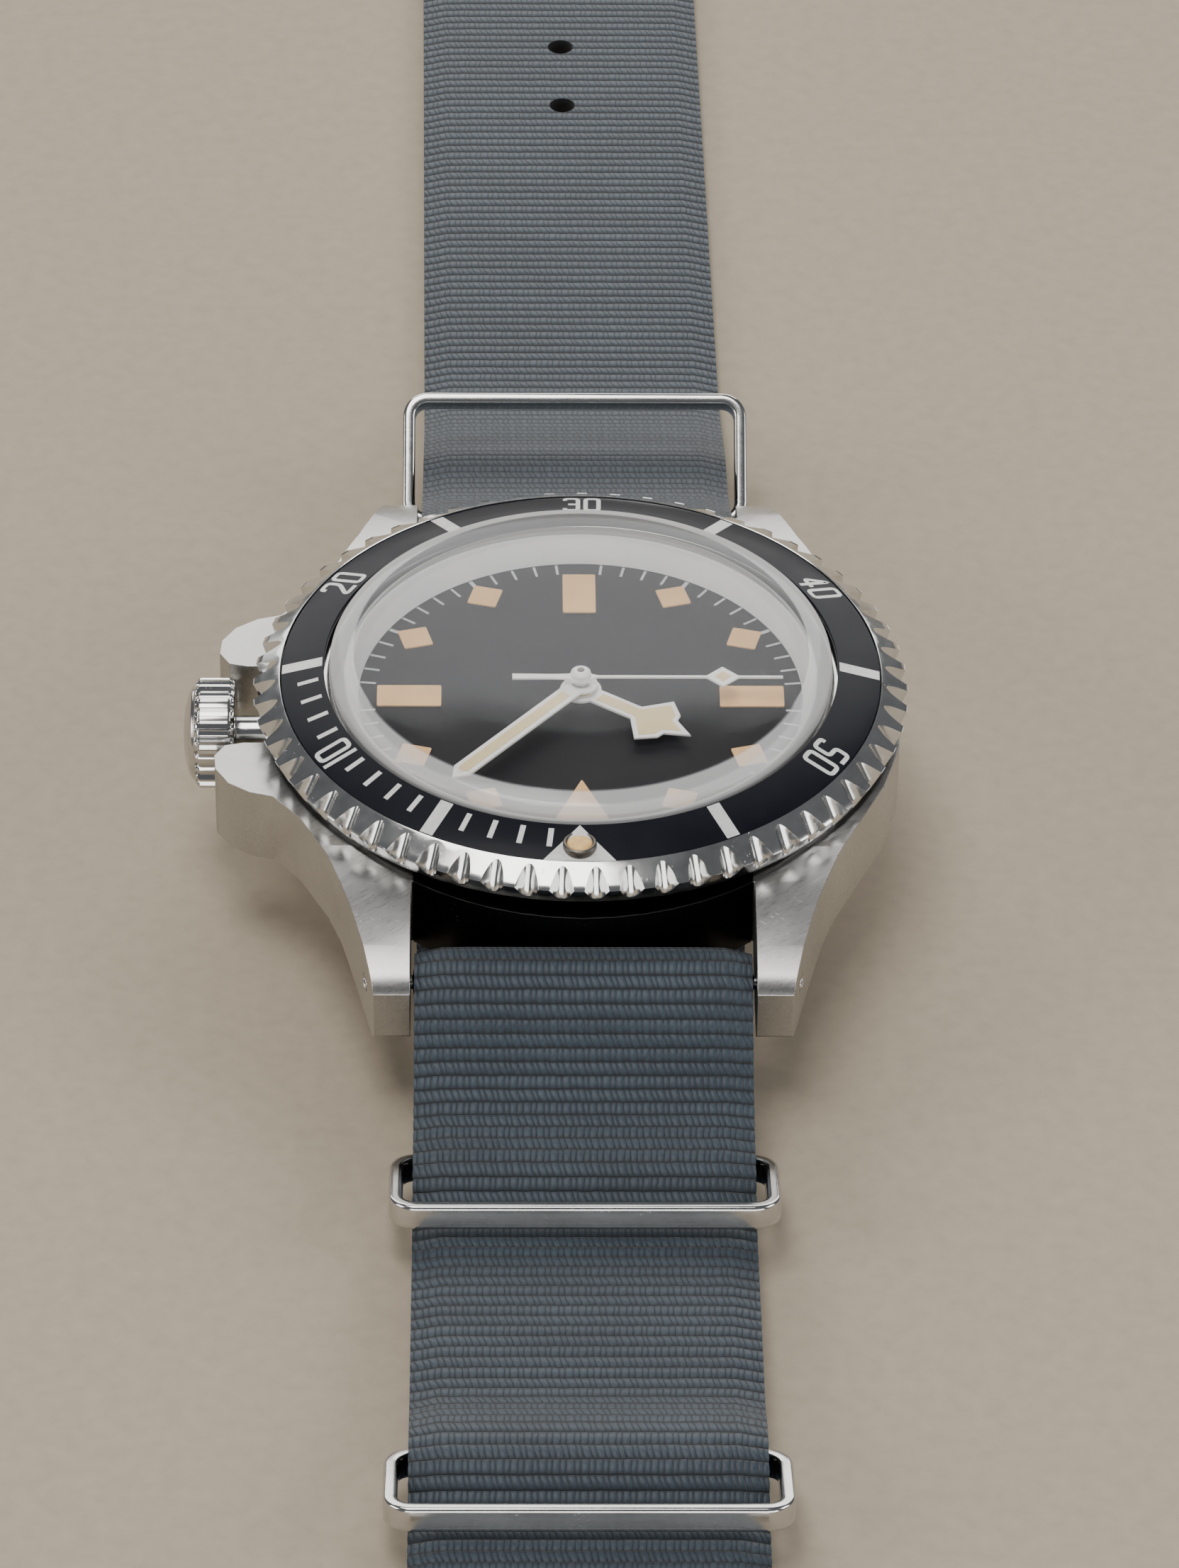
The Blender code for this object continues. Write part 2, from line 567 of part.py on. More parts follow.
def make_bridges():
    barrel_posts = [(6.0, 10.4), (-4.1, 11.3)]
    train_posts = [(-11.7, -2.0), (-7.0, -9.7), (-9.0, 7.5)]
    barrel_ends = [(x, y, 1.1) for x, y in barrel_posts]
    train_ends = [(x, y, 1) for x, y in train_posts]
    bridge("barrel_bridge", wrapped((*BARREL, 2.2), (*CROWN_WHEEL, 2.2), *barrel_ends),
           [circle(0.9, BARREL, 14), circle(CROWN_WHEEL_HUB + 0.12, CROWN_WHEEL, 16)], barrel_posts)
    bridge("train_bridge", wrapped((0, 0, 1.1), (*THIRD, 1), (*ESCAPE, 0.9), *train_ends),
           [circle(0.5, points=12), *pivot_holes(THIRD, FOURTH, ESCAPE)], train_posts)
    bridge("balance_cock", wrapped((*BALANCE, 1.0), (10.4, -6.0, 1.3)), pivot_holes(BALANCE), [(10.4, -6.0)])
    bridge("pallet_bridge", wrapped((*PALLET, 0.6), (0.3, -9.9, 0.6)), pivot_holes(PALLET), [(0.3, -9.9)],
           low=7.4, high=7.7, width=0.4)
    auto_posts = [(-9.0, 7.0), (1.0, 11.2), (-7.0, -9.7)]
    auto_ends = [(x, y, 0.9) for x, y in auto_posts]
    auto = bridge("rotor_bridge", wrapped((0, 0, 1.8), *auto_ends), [], auto_posts, low=5.55, high=5.85,
                  foot=BRIDGE_LOW - 0.1, width=0.5)
    axle = rod("rotor_axle", None, 0.7, 4.2, 5.7, sides=14)
    combine(auto, "UNION", [axle])


def ribbon_spiral(name, look, at, inner, outer, turns, low, high, thickness, per_turn=11):
    """A flat spring: an upright ribbon that winds outwards, given its thickness."""
    count = ceil(turns * per_turn)
    mesh = bpy.data.meshes.new(name)
    path = []
    for i in range(count + 1):
        angle = 2 * pi * i / per_turn
        radius = inner + (outer - inner) * i / count
        path.append((MM * radius * cos(angle), MM * radius * sin(angle)))
    points = [(x, y, MM * z) for x, y in path for z in (low, high)]
    faces = [(2 * i, 2 * i + 2, 2 * i + 3, 2 * i + 1) for i in range(count)]
    mesh.from_pydata(points, [], faces)
    obj = put(name, mesh, look, (at[0], at[1], 0))
    solid = obj.modifiers.new("Thickness", "SOLIDIFY")
    solid.thickness = MM * thickness
    solid.offset = 0


def make_barrel():
    drum = turned("barrel_drum", BRASS, [(0.85, 9.0), (4.7, 9.0), (4.7, 7.75), (0.85, 7.75), (0.85, 7.9),
                                         (4.45, 7.9), (4.45, 8.85), (0.85, 8.85)], at=(*BARREL, 0), steps=30)
    phase = phase_in_mesh(0, CENTRE_PINION_TEETH, BARREL_WAY, BARREL_TEETH)
    teeth = wheel("barrel_teeth", None, BARREL, 8.6, 8.8, BARREL_TEETH, BARREL_PITCH, phase, hole=4.6)
    combine(drum, "UNION", [teeth])
    ribbon_spiral("mainspring", BLUED, BARREL, 1.1, 4.2, 5, 8.0, 8.75, 0.12)
    rod("barrel_arbor", STEEL, 0.7, 6.5, 10.4, at=(*BARREL, 0), sides=14)
    crown_phase = phase_in_mesh(0, RATCHET_TEETH, CROWN_WHEEL_WAY, CROWN_WHEEL_TEETH)
    wheel("ratchet_wheel", STEEL, BARREL, RATCHET_LOW, RATCHET_HIGH, RATCHET_TEETH, RATCHET_PITCH)
    pitch = RATCHET_PITCH * CROWN_WHEEL_TEETH / RATCHET_TEETH
    low = wheel("crown_wheel", STEEL, CROWN_WHEEL, RATCHET_LOW, RATCHET_HIGH, CROWN_WHEEL_TEETH, pitch,
                crown_phase)
    hub = rod("crown_wheel_hub", None, CROWN_WHEEL_HUB, 6.3, 7.5, at=(*CROWN_WHEEL, 0))
    top = wheel("crown_wheel_top", None, CROWN_WHEEL, 7.38, 7.58, CROWN_WHEEL_TEETH, pitch, crown_phase)
    combine(low, "UNION", [hub, top])
    slab("click", STEEL, [wrapped((0, 0, 0.5), (1.42, -0.62, 0.15), points=10)], RATCHET_LOW, RATCHET_HIGH,
         at=CLICK)


def make_keyless_work():
    """The two pinions on the stem and the lever that its groove moves."""
    for name, start, end, pitch in (("winding_pinion", 9.0, 10.0, 1.22), ("sliding_pinion", 7.5, 8.7, 1.1)):
        slab(name, STEEL, [gear_outline(STEM_PINION_TEETH, pitch), circle(0.56, points=14)], start, end,
             turn=ALONG_X, height=STEM_Z)
    slab("setting_lever", STEEL, [wrapped((0, 0, 0.6), (0.7, 1.6, 0.35), points=10)], 8.1, 8.35,
         at=SETTING_LEVER)


def make_train():
    """The wheels from the barrel to the escapement, and the pair that drives the seconds hand."""
    centre = turned("center_wheel", BRASS, [(0.22, 12.6), (0.37, 12.6), (0.37, 6.9), (0.22, 6.9)], steps=14)
    plate = wheel("center_plate", None, CENTRE, 9.3, 9.45, CENTRE_WHEEL_TEETH, CENTRE_WHEEL_PITCH, hole=0.3,
                  open_to=1.2)
    centre_pitch = BARREL_PITCH * CENTRE_PINION_TEETH / BARREL_TEETH
    pinion = wheel("center_pinion", None, CENTRE, 8.5, 8.9, CENTRE_PINION_TEETH, centre_pitch, hole=0.3)
    combine(centre, "UNION", [plate, pinion])

    third_phase = phase_in_mesh(0, CENTRE_WHEEL_TEETH, THIRD_WAY, THIRD_PINION_TEETH)
    third_pitch = CENTRE_WHEEL_PITCH * THIRD_PINION_TEETH / CENTRE_WHEEL_TEETH
    third = wheel("third_wheel", BRASS, THIRD, 8.1, 8.25, THIRD_WHEEL_TEETH, THIRD_WHEEL_PITCH, open_to=0.7)
    pinion = wheel("third_pinion", None, THIRD, 9.2, 9.55, THIRD_PINION_TEETH, third_pitch, third_phase)
    arbor = rod("third_arbor", None, PIVOT_RADIUS, 6.3, 10.3, at=(*THIRD, 0), sides=9)
    combine(third, "UNION", [pinion, arbor], solver="MANIFOLD")

    wheel("seconds_drive_wheel", BRASS, THIRD, 6.0, 6.15, DRIVE_TEETH, DRIVE_PITCH, open_to=0.9)
    seconds_pitch = DRIVE_PITCH * SECONDS_PINION_TEETH / DRIVE_TEETH
    seconds_phase = phase_in_mesh(0, DRIVE_TEETH, THIRD_WAY + pi, SECONDS_PINION_TEETH)
    seconds = wheel("seconds_pinion", STEEL, CENTRE, 5.95, 6.25, SECONDS_PINION_TEETH, seconds_pitch,
                    seconds_phase)
    arbor = rod("seconds_arbor", None, 0.13, 6.1, 13.12, sides=8)
    combine(seconds, "UNION", [arbor])

    fourth_phase = phase_in_mesh(0, THIRD_WHEEL_TEETH, FOURTH_WAY, FOURTH_PINION_TEETH)
    fourth_pitch = THIRD_WHEEL_PITCH * FOURTH_PINION_TEETH / THIRD_WHEEL_TEETH
    fourth = wheel("fourth_wheel", BRASS, FOURTH, 8.75, 8.9, FOURTH_WHEEL_TEETH, FOURTH_WHEEL_PITCH,
                   open_to=0.6)
    pinion = wheel("fourth_pinion", None, FOURTH, 8.03, 8.33, FOURTH_PINION_TEETH, fourth_pitch, fourth_phase)
    arbor = rod("fourth_arbor", None, PIVOT_RADIUS, 6.7, 10.3, at=(*FOURTH, 0), sides=8)
    combine(fourth, "UNION", [pinion, arbor])


def escape_outline(teeth, tip, root):
    """Leaning saw teeth: a steep face, a tip and a long back."""
    step = 2 * pi / teeth
    outline = []
    for i in range(teeth):
        for part, radius in ((0.0, root), (0.28, tip), (0.36, tip), (0.4, root)):
            outline.append((radius * cos((i + part) * step), radius * sin((i + part) * step)))
    return outline


def make_escapement():
    escape_phase = phase_in_mesh(0, FOURTH_WHEEL_TEETH, ESCAPE_WAY, ESCAPE_PINION_TEETH)
    escape_pitch = FOURTH_WHEEL_PITCH * ESCAPE_PINION_TEETH / FOURTH_WHEEL_TEETH
    escape = slab("escape_wheel", STEEL, [escape_outline(15, 2.0, 1.5), *spokes(0.35, 1.35)], 8.2, 8.35,
                  ESCAPE)
    pinion = wheel("escape_pinion", None, ESCAPE, 8.68, 8.95, ESCAPE_PINION_TEETH, escape_pitch, escape_phase)
    arbor = rod("escape_arbor", None, 0.14, 6.7, 10.3, at=(*ESCAPE, 0), sides=8)
    combine(escape, "UNION", [pinion, arbor])

    to_balance = (0, 0, atan2(BALANCE[1] - PALLET[1], BALANCE[0] - PALLET[0]))
    arms = slab("pallet_fork", STEEL,
                [wrapped((-0.2, 1.35, 0.18), (-0.2, -1.35, 0.18), (0.1, 0, 0.35), points=8)], 8.42, 8.58,
                PALLET, turn=to_balance)
    lever = slab("pallet_lever", None, [wrapped((0, 0, 0.3), (1.05, 0, 0.16), points=8)], 8.44, 8.56, PALLET,
                 turn=to_balance)
    arbor = rod("pallet_arbor", None, 0.14, 7.5, 10.3, at=(*PALLET, 0), sides=8)
    combine(arms, "UNION", [lever, arbor])

    rim = slab("balance_wheel", BRASS, [circle(4.2, points=40), circle(3.75, points=40)], 8.85, 9.15, BALANCE)
    spoke = slab("balance_arm", None, [wrapped((-3.8, 0, 0.25), (3.8, 0, 0.25), points=8)], 8.9, 9.1, BALANCE)
    staff = rod("balance_staff", None, 0.15, 6.7, 10.3, at=(*BALANCE, 0), sides=8)
    roller = rod("balance_roller", None, 0.7, 8.66, 8.95, at=(*BALANCE, 0))
    combine(rim, "UNION", [spoke, staff, roller])
    ribbon_spiral("hairspring", BLUED, BALANCE, 0.45, 2.2, 5, 7.82, 7.97, 0.06)


def make_rotor():
    """A half disc of sheet metal with a heavy rim, on the axle below the movement."""
    half = arc(12.6, pi, 2 * pi, 33)
    web = slab("rotor", RHODIUM, [half + arc(1.7, 0.3, pi - 0.3, 9), circle(0.85, points=14)], 4.9, 5.35)
    rim = slab("rotor_rim", None, [arc(12.6, pi, 2 * pi, 33) + arc(10.6, 2 * pi, pi, 33)], 4.05, 5.1)
    combine(web, "UNION", [rim])


# ---------------------------------------------------------------- strap


def bend(centre, radius, first, last, points):
    """Points round a bend in the strap's side view, with angles in degrees."""
    return arc(radius, radians(first), radians(last), points, centre)


def main_path():
    """The long strap from the side, as the middle of its thickness: tail, case, buckle, fold."""
    over_bar = SPRING_BAR_RADIUS + LAYER_GAP + HALF_THICK
    flat = HALF_THICK
    second = STRAP_THICKNESS + LAYER_GAP + HALF_THICK
    tip = [(TAIL_TIP + along, flat) for along in (0.0, 1.0, 3.0, 7.0)]
    far = tip + [(-150, flat), (-110, flat), (-70, flat), (-52, flat), (TAIL_START, 0.75), (-42.5, 1.5),
                 (-39, 2.75), (-36, 3.9), (-33.5, 4.7), (-31, 5.05), (-28.5, 5.6), (-26, 6.7), (-24, 7.9)]
    far_bar = bend((-SPRING_BAR_Y, SPRING_BAR_Z), over_bar, 120, 0, 8)
    far_under = [(-20.05, 5.0), (-20.0, 3.9)] + bend((-18.2, 3.75), 1.85, 200, 270, 5)
    near_under = bend((18.2, 3.75), 1.85, 270, 340, 5) + [(20.0, 3.9), (20.05, 5.0)]
    near_bar = bend((SPRING_BAR_Y, SPRING_BAR_Z), over_bar, 180, 60, 8)
    hump = KEEPER_BAR_Z + 0.95 + HALF_THICK
    near = [(24.0, 7.9), (26, 6.2), (28, 4.9), (30, 4.0), (KEEPER_1_Y, hump), (33.3, 3.45), (35, 2.5),
            (36.6, second), (40, second), (44, 2.15), (48, 2.25), (51.5, 2.2), (54, 3.3), (KEEPER_2_Y, hump),
            (57.5, 3.4), (59.2, 2.4), (60.8, second), (68, second), (72.5, 2.3), (75.3, 3.0)]
    fold = bend((BUCKLE_Y, BUCKLE_Z), 1.3, 100, -90, 10)
    back = [(72, flat), (60, flat), (FOLD_END_Y, flat)]
    return far + far_bar + far_under + near_under + near_bar + near + fold + back


def under_path():
    """The short strap under the case, turned back over the lower bar of the far keeper."""
    loop = bend((KEEPER_3_Y, KEEPER_BAR_Z), 1.55, 270, 90, 9)
    return [(UNDER_START_Y, HALF_THICK), (20, HALF_THICK), (0, HALF_THICK), (-20, HALF_THICK)] + loop + [
        (-29.2, 3.2), (-27.4, 2.2), (-25.5, 1.95), (-23, 1.95)]


def tip_half_width(y):
    """The tail narrows to a blunt point over its last seven millimetres."""
    inside = min(max((y - TAIL_TIP) / 7.0, 0.0), 1.0)
    return STRAP_WIDTH / 2 * (0.25 + 0.75 * sqrt(1 - (1 - inside) ** 2))


def ribbon(name, path, width_at, middle_at):
    """A flat strap that follows a side view: an open sheet given the strap's thickness."""
    mesh = bpy.data.meshes.new(name)
    points = [(MM * (middle_at(y) + side * width_at(y)), MM * y, MM * z) for y, z in path for side in (-1, 1)]
    faces = [(2 * i, 2 * i + 1, 2 * i + 3, 2 * i + 2) for i in range(len(path) - 1)]
    mesh.from_pydata(points, [], faces)
    obj = put(name, mesh, NYLON, (0, 0, 0))
    solid = obj.modifiers.new("Thickness", "SOLIDIFY")
    solid.thickness = MM * STRAP_THICKNESS
    solid.offset = 0
    return obj


def tail_middle(y):
    return TAIL_SKEW * max(0.0, -40 - y)


def make_strap():
    main = ribbon("strap_main", main_path(), tip_half_width, tail_middle)
    holes = [rod(f"tail_hole_{i}", None, HOLE_RADIUS, -1, 3, at=(tail_middle(y), y, 0), sides=12)
             for i, y in enumerate(FIRST_HOLE + HOLE_STEP * k for k in range(HOLE_COUNT))]
    tongue_slot = block("tongue_slot", None, (-1.2, 74.6, -1), (1.2, 79.0, 5))
    combine(main, "DIFFERENCE", [*holes, tongue_slot])
    ribbon("strap_under", under_path(), lambda y: STRAP_WIDTH / 2, lambda y: 0.0)


def round_frame(width, length, corner, start, inset=0.0):
    """A rounded rectangle in X and Y that starts at one end and reaches its length along +Y."""
    radius = corner - inset
    right = width / 2 - inset - radius
    low, high = start + inset + radius, start + length - inset - radius
    outline = []
    for i, centre in enumerate(((right, high), (-right, high), (-right, low), (right, low))):
        outline += arc(radius, i * pi / 2, (i + 1) * pi / 2, 5, centre)
    return outline


def keeper(name, y, length, lean):
    """A flat-banded frame on the bar that the strap's layers trap, leaning about that bar."""
    start = -KEEPER_THICK / 2
    outer = round_frame(KEEPER_OUTER, length, 1.6, start)
    inner = round_frame(KEEPER_OUTER, length, 1.6, start, KEEPER_THICK)
    obj = slab(name, POLISHED, [outer, inner], -KEEPER_BAND / 2, KEEPER_BAND / 2, at=(0, y),
               turn=(lean, 0, 0), height=KEEPER_BAR_Z)
    edge = obj.modifiers.new("Soft edge", "BEVEL")
    edge.width = MM * 0.2
    edge.segments = 1
    edge.limit_method = "ANGLE"
    edge.angle_limit = radians(50)


def make_keepers():
    keeper("keeper_1", KEEPER_1_Y, 6.8, radians(15))
    keeper("keeper_2", KEEPER_2_Y, 6.8, radians(15))
    keeper("keeper_3", KEEPER_3_Y, 8.9, radians(180 - 38.7))


def make_buckle():
    """A frame and a tongue that both turn on the bar in the strap's end loop."""
    outer = round_frame(BUCKLE_WIDTH, BUCKLE_LENGTH, 3.0, -1.4)
    inner = round_frame(BUCKLE_WIDTH, BUCKLE_LENGTH, 3.0, -1.4, BUCKLE_RAIL)
    frame = slab("buckle_frame", STEEL, [outer, inner], -0.8, 0.8, at=(0, BUCKLE_Y), height=BUCKLE_Z)
    inside = BUCKLE_WIDTH / 2 - BUCKLE_RAIL
    mouth = block("buckle_mouth", None, (-inside, BUCKLE_Y - 3, -1), (inside, BUCKLE_Y + 3, 5))
    bar_holes = rod("buckle_bar_hole", None, 0.5, -14, 14, at=(0, BUCKLE_Y, BUCKLE_Z), turn=ALONG_X, sides=12)
    combine(frame, "DIFFERENCE", [mouth, bar_holes])
    rod("buckle_bar", STEEL, 0.4, -12.9, 12.9, at=(0, BUCKLE_Y, BUCKLE_Z), turn=ALONG_X, sides=12)
    eye = slab("buckle_tongue", STEEL, [circle(1.1, points=16), circle(0.5, points=12)], -0.8, 0.8,
               at=(0, BUCKLE_Y), turn=(pi / 2, 0, pi / 2), height=BUCKLE_Z)
    pin = rod("tongue_pin", None, 0.6, 0.85, 13.6, at=(0, BUCKLE_Y, BUCKLE_Z + 0.5),
              turn=(TONGUE_RISE - pi / 2, 0, 0), sides=10)
    combine(eye, "UNION", [pin])


def shade_parts():
    """Bakes each part's modelling steps into its mesh, then shades it smooth except at its sharp edges."""
    bpy.context.view_layer.update()
    graph = bpy.context.evaluated_depsgraph_get()
    baked = {obj: bpy.data.meshes.new_from_object(obj.evaluated_get(graph)) for obj in PARTS.objects}
    for obj, mesh in baked.items():
        obj.modifiers.clear()
        obj.data = mesh
        mesh.shade_smooth()
        mesh.set_sharp_from_angle(angle=radians(35))


def main():
    """Builds every piece, from the case inwards and then out to the strap."""
    make_case()
    make_case_back()
    make_spring_bars()
    make_crystal()
    make_bezel()
    make_crown()
    make_hands()
    make_motion_work()
    make_plate()
    make_bridges()
    make_barrel()
    make_keyless_work()
    make_train()
    make_escapement()
    make_rotor()
    make_strap()
    make_keepers()
    make_buckle()
    shade_parts()


main()
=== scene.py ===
"""The finished look of a self-winding dive watch on a pull-through strap of woven nylon.

Lengths are in millimetres until a mesh is made. +Z is up through the dial and +Y points to 12 o'clock.
"""

import json
from math import cos, pi, radians, sin

import bmesh
import bpy
import numpy as np
from mathutils import Matrix

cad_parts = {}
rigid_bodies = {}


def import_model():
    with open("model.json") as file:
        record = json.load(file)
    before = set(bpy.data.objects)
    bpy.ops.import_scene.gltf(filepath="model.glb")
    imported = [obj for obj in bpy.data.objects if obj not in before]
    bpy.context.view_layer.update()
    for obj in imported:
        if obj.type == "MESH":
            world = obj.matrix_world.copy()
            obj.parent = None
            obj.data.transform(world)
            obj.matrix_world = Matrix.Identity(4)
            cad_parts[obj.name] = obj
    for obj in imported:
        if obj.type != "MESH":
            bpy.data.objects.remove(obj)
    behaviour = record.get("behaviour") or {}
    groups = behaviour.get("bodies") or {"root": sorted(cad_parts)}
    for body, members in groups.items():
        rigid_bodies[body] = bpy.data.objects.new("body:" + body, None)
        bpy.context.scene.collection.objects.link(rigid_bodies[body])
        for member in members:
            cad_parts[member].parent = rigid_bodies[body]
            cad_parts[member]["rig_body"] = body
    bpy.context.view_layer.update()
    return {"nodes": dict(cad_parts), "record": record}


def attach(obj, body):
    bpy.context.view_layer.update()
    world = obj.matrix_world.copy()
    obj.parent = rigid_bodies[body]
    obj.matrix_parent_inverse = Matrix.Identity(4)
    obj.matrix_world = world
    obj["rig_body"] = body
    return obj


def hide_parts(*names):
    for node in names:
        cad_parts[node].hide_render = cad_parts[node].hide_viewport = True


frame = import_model()

MM = 0.001
STEM_Z = 9.0
INSERT_IN, INSERT_OUT = 15.35, 17.93
INSERT_HIGH, INSERT_LOW = 14.3, 13.58
BEZEL_TURN = radians(-0.75)
SPRING_BAR_Y, SPRING_BAR_Z = 21.5, 7.5
DIAL_TOP = 11.8
ROW_PITCH, BEAD_PITCH = 0.85, 0.76


# ---------------------------------------------------------------- shader maths


class Signal:
    """A shader socket that can be used in a Python expression: each operator adds a Math node."""

    def __init__(self, look, socket):
        self.look = look
        self.socket = socket

    def maths(self, operation, *others):
        node = self.look.add("Math", {"operation": operation}, {i: v for i, v in enumerate((self, *others))})
        return Signal(self.look, node.outputs[0])

    def __add__(self, other):
        return self.maths("ADD", other)

    def __sub__(self, other):
        return self.maths("SUBTRACT", other)

    def __mul__(self, other):
        return self.maths("MULTIPLY", other)

    def __truediv__(self, other):
        return self.maths("DIVIDE", other)

    def __pow__(self, other):
        return self.maths("POWER", other)

    def __mod__(self, other):
        return self.maths("FLOORED_MODULO", other)

    def __lt__(self, other):
        return self.maths("LESS_THAN", other)

    def __rsub__(self, other):
        node = self.look.add("Math", {"operation": "SUBTRACT"}, {0: other, 1: self})
        return Signal(self.look, node.outputs[0])

    __radd__ = __add__
    __rmul__ = __mul__


class Finish:
    """A material that is being made: its Principled shader and the nodes that feed it."""

    def __init__(self, name, **constants):
        self.material = bpy.data.materials.new(name)
        self.material.use_nodes = True
        self.tree = self.material.node_tree
        self.shader = self.tree.nodes["Principled BSDF"]
        for socket, value in constants.items():
            self.shader.inputs[socket.replace("_", " ")].default_value = value
        self.coordinates = self.tree.nodes.new("ShaderNodeTexCoord")

    def add(self, kind, settings, sockets):
        """Adds a node of this type, sets its settings, then links or sets its sockets."""
        node = self.tree.nodes.new("ShaderNode" + kind)
        for name, value in settings.items():
            setattr(node, name, value)
        for name, value in sockets.items():
            if isinstance(value, Signal):
                self.tree.links.new(value.socket, node.inputs[name])
            else:
                node.inputs[name].default_value = value
        return node

    def place(self, source="Object", part=None):
        """The piece's own coordinates in metres, or its UV in millimetres, or one part of either."""
        whole = Signal(self, self.coordinates.outputs[source])
        if part is None:
            return whole
        split = self.add("SeparateXYZ", {}, {0: whole})
        return Signal(self, split.outputs[part])

    def noise(self, per_unit, detail=3.0, source="Object", turn=0.0):
        """Noise with so many features per unit of its coordinates along each axis."""
        scale = per_unit if hasattr(per_unit, "__len__") else (per_unit,) * 3
        turned = self.add("Mapping", {}, {"Vector": self.place(source), "Rotation": (0, 0, turn)})
        mapped = self.add("Mapping", {}, {"Vector": Signal(self, turned.outputs[0]), "Scale": scale})
        node = self.add("TexNoise", {}, {"Vector": Signal(self, mapped.outputs[0]), "Scale": 1.0,
                                         "Detail": detail, "Roughness": 0.55})
        return Signal(self, node.outputs[0])

    def ramp(self, value, low, high):
        """0 below the low value and 1 above the high one."""
        node = self.add("MapRange", {"clamp": True}, {0: value, 1: low, 2: high, 3: 0.0, 4: 1.0})
        return Signal(self, node.outputs[0])

    def mix(self, factor, first, second):
        """The first colour where the factor is 0 and the second where it is 1."""
        sides = {i: (c if isinstance(c, Signal) else (*c, 1)) for i, c in ((6, first), (7, second))}
        node = self.add("Mix", {"data_type": "RGBA"}, {0: factor, **sides})
        return Signal(self, node.outputs[2])

    def bump(self, height, strength, depth_mm):
        node = self.add("Bump", {}, {"Strength": strength, "Distance": depth_mm * MM, "Height": height})
        return Signal(self, node.outputs[0])

    def feed(self, **links):
        for socket, value in links.items():
            target = self.shader.inputs[socket.replace("_", " ")]
            if isinstance(value, Signal):
                self.tree.links.new(value.socket, target)
            else:
                target.default_value = value
        return self.material


# ---------------------------------------------------------------- finishes


def steel(name, colour, rough, brush, turn=0.0, depth=0.02, scratched=0.5, spread=0.14, worn=0.0,
          painted_dark_reflection_within=0.0):
    """Steel with a brushed grain, fine scratches and a faint uneven tone.

    Where the distance from the middle plane is below the last argument, in metres, the steel is painted
    nearly
    black: a painted dark reflection of the shaded strap and the gap between the lugs, with light scratches in
    it.
    """
    look = Finish(name, Metallic=1.0)
    grain = look.noise(brush, 4.0, turn=turn)
    cloud = look.noise(260, 4.0)
    fine = look.noise((900, 14000, 9000), 2.0, turn=0.6)
    cross = look.noise((12000, 700, 9000), 2.0, turn=0.35)
    lines = look.ramp(fine, 0.70, 0.76) + look.ramp(cross, 0.71, 0.77)
    marks = lines * look.ramp(look.noise(420, 2.0), 0.5, 0.62)
    dark = tuple(c * 0.80 for c in colour)
    base = look.mix(look.ramp(cloud * 0.5 + grain * 0.5, 0.35, 0.65), dark, colour)
    # painted dark reflection: a band about the middle plane is painted nearly black in place of the shaded
    # strap it mirrors
    if painted_dark_reflection_within:
        beside = look.ramp(look.place("Object", 0).maths("ABSOLUTE") / painted_dark_reflection_within, 0.985, 0.995)
        black = look.mix(marks, tuple(c * 0.05 for c in colour), tuple(c * 0.35 for c in colour))
        base = look.mix(beside, black, base)
    dents = look.ramp(look.noise(1500, 2.0), 0.66, 0.74)
    height = grain * 0.6 - marks * scratched - dents * worn
    return look.feed(Base_Color=base, Roughness=rough + (grain - 0.5) * spread + marks * 0.15 * scratched,
                     Normal=look.bump(height, 0.35, depth))


def worn_black(name, colour, rough, coat):
    """Hard black with dust, hair scratches and a gloss that varies."""
    look = Finish(name, Coat_Roughness=0.12, Specular_IOR_Level=0.14)
    dust = look.ramp(look.noise(9000, 1.0), 0.74, 0.80)
    cloud = look.noise(300, 3.0)
    grey = tuple(c + 0.05 for c in colour)
    return look.feed(Base_Color=look.mix(dust * 0.5 + (cloud - 0.45) * 0.10, colour, grey),
                     Roughness=rough + (cloud - 0.5) * 0.2, Coat_Weight=coat - dust * coat,
                     Normal=look.bump(look.noise(2500, 3.0), 0.06, 0.02))


def grainy(name, colour, rough, spread=0.1, per_metre=4000, depth=0.01, metallic=0.0):
    """Paint, lume or plastic with a fine grain and a slight change of tone."""
    look = Finish(name, Metallic=metallic)
    grain = look.noise(per_metre, 3.0)
    dark = tuple(c * (1 - spread) for c in colour)
    light = tuple(min(1, c * (1 + spread)) for c in colour)
    tone = look.ramp(grain * 0.5 + look.noise(600, 2.0) * 0.5, 0.38, 0.62)
    return look.feed(Base_Color=look.mix(tone, dark, light), Roughness=rough + (grain - 0.5) * 0.15,
                     Normal=look.bump(grain, 0.4, depth))


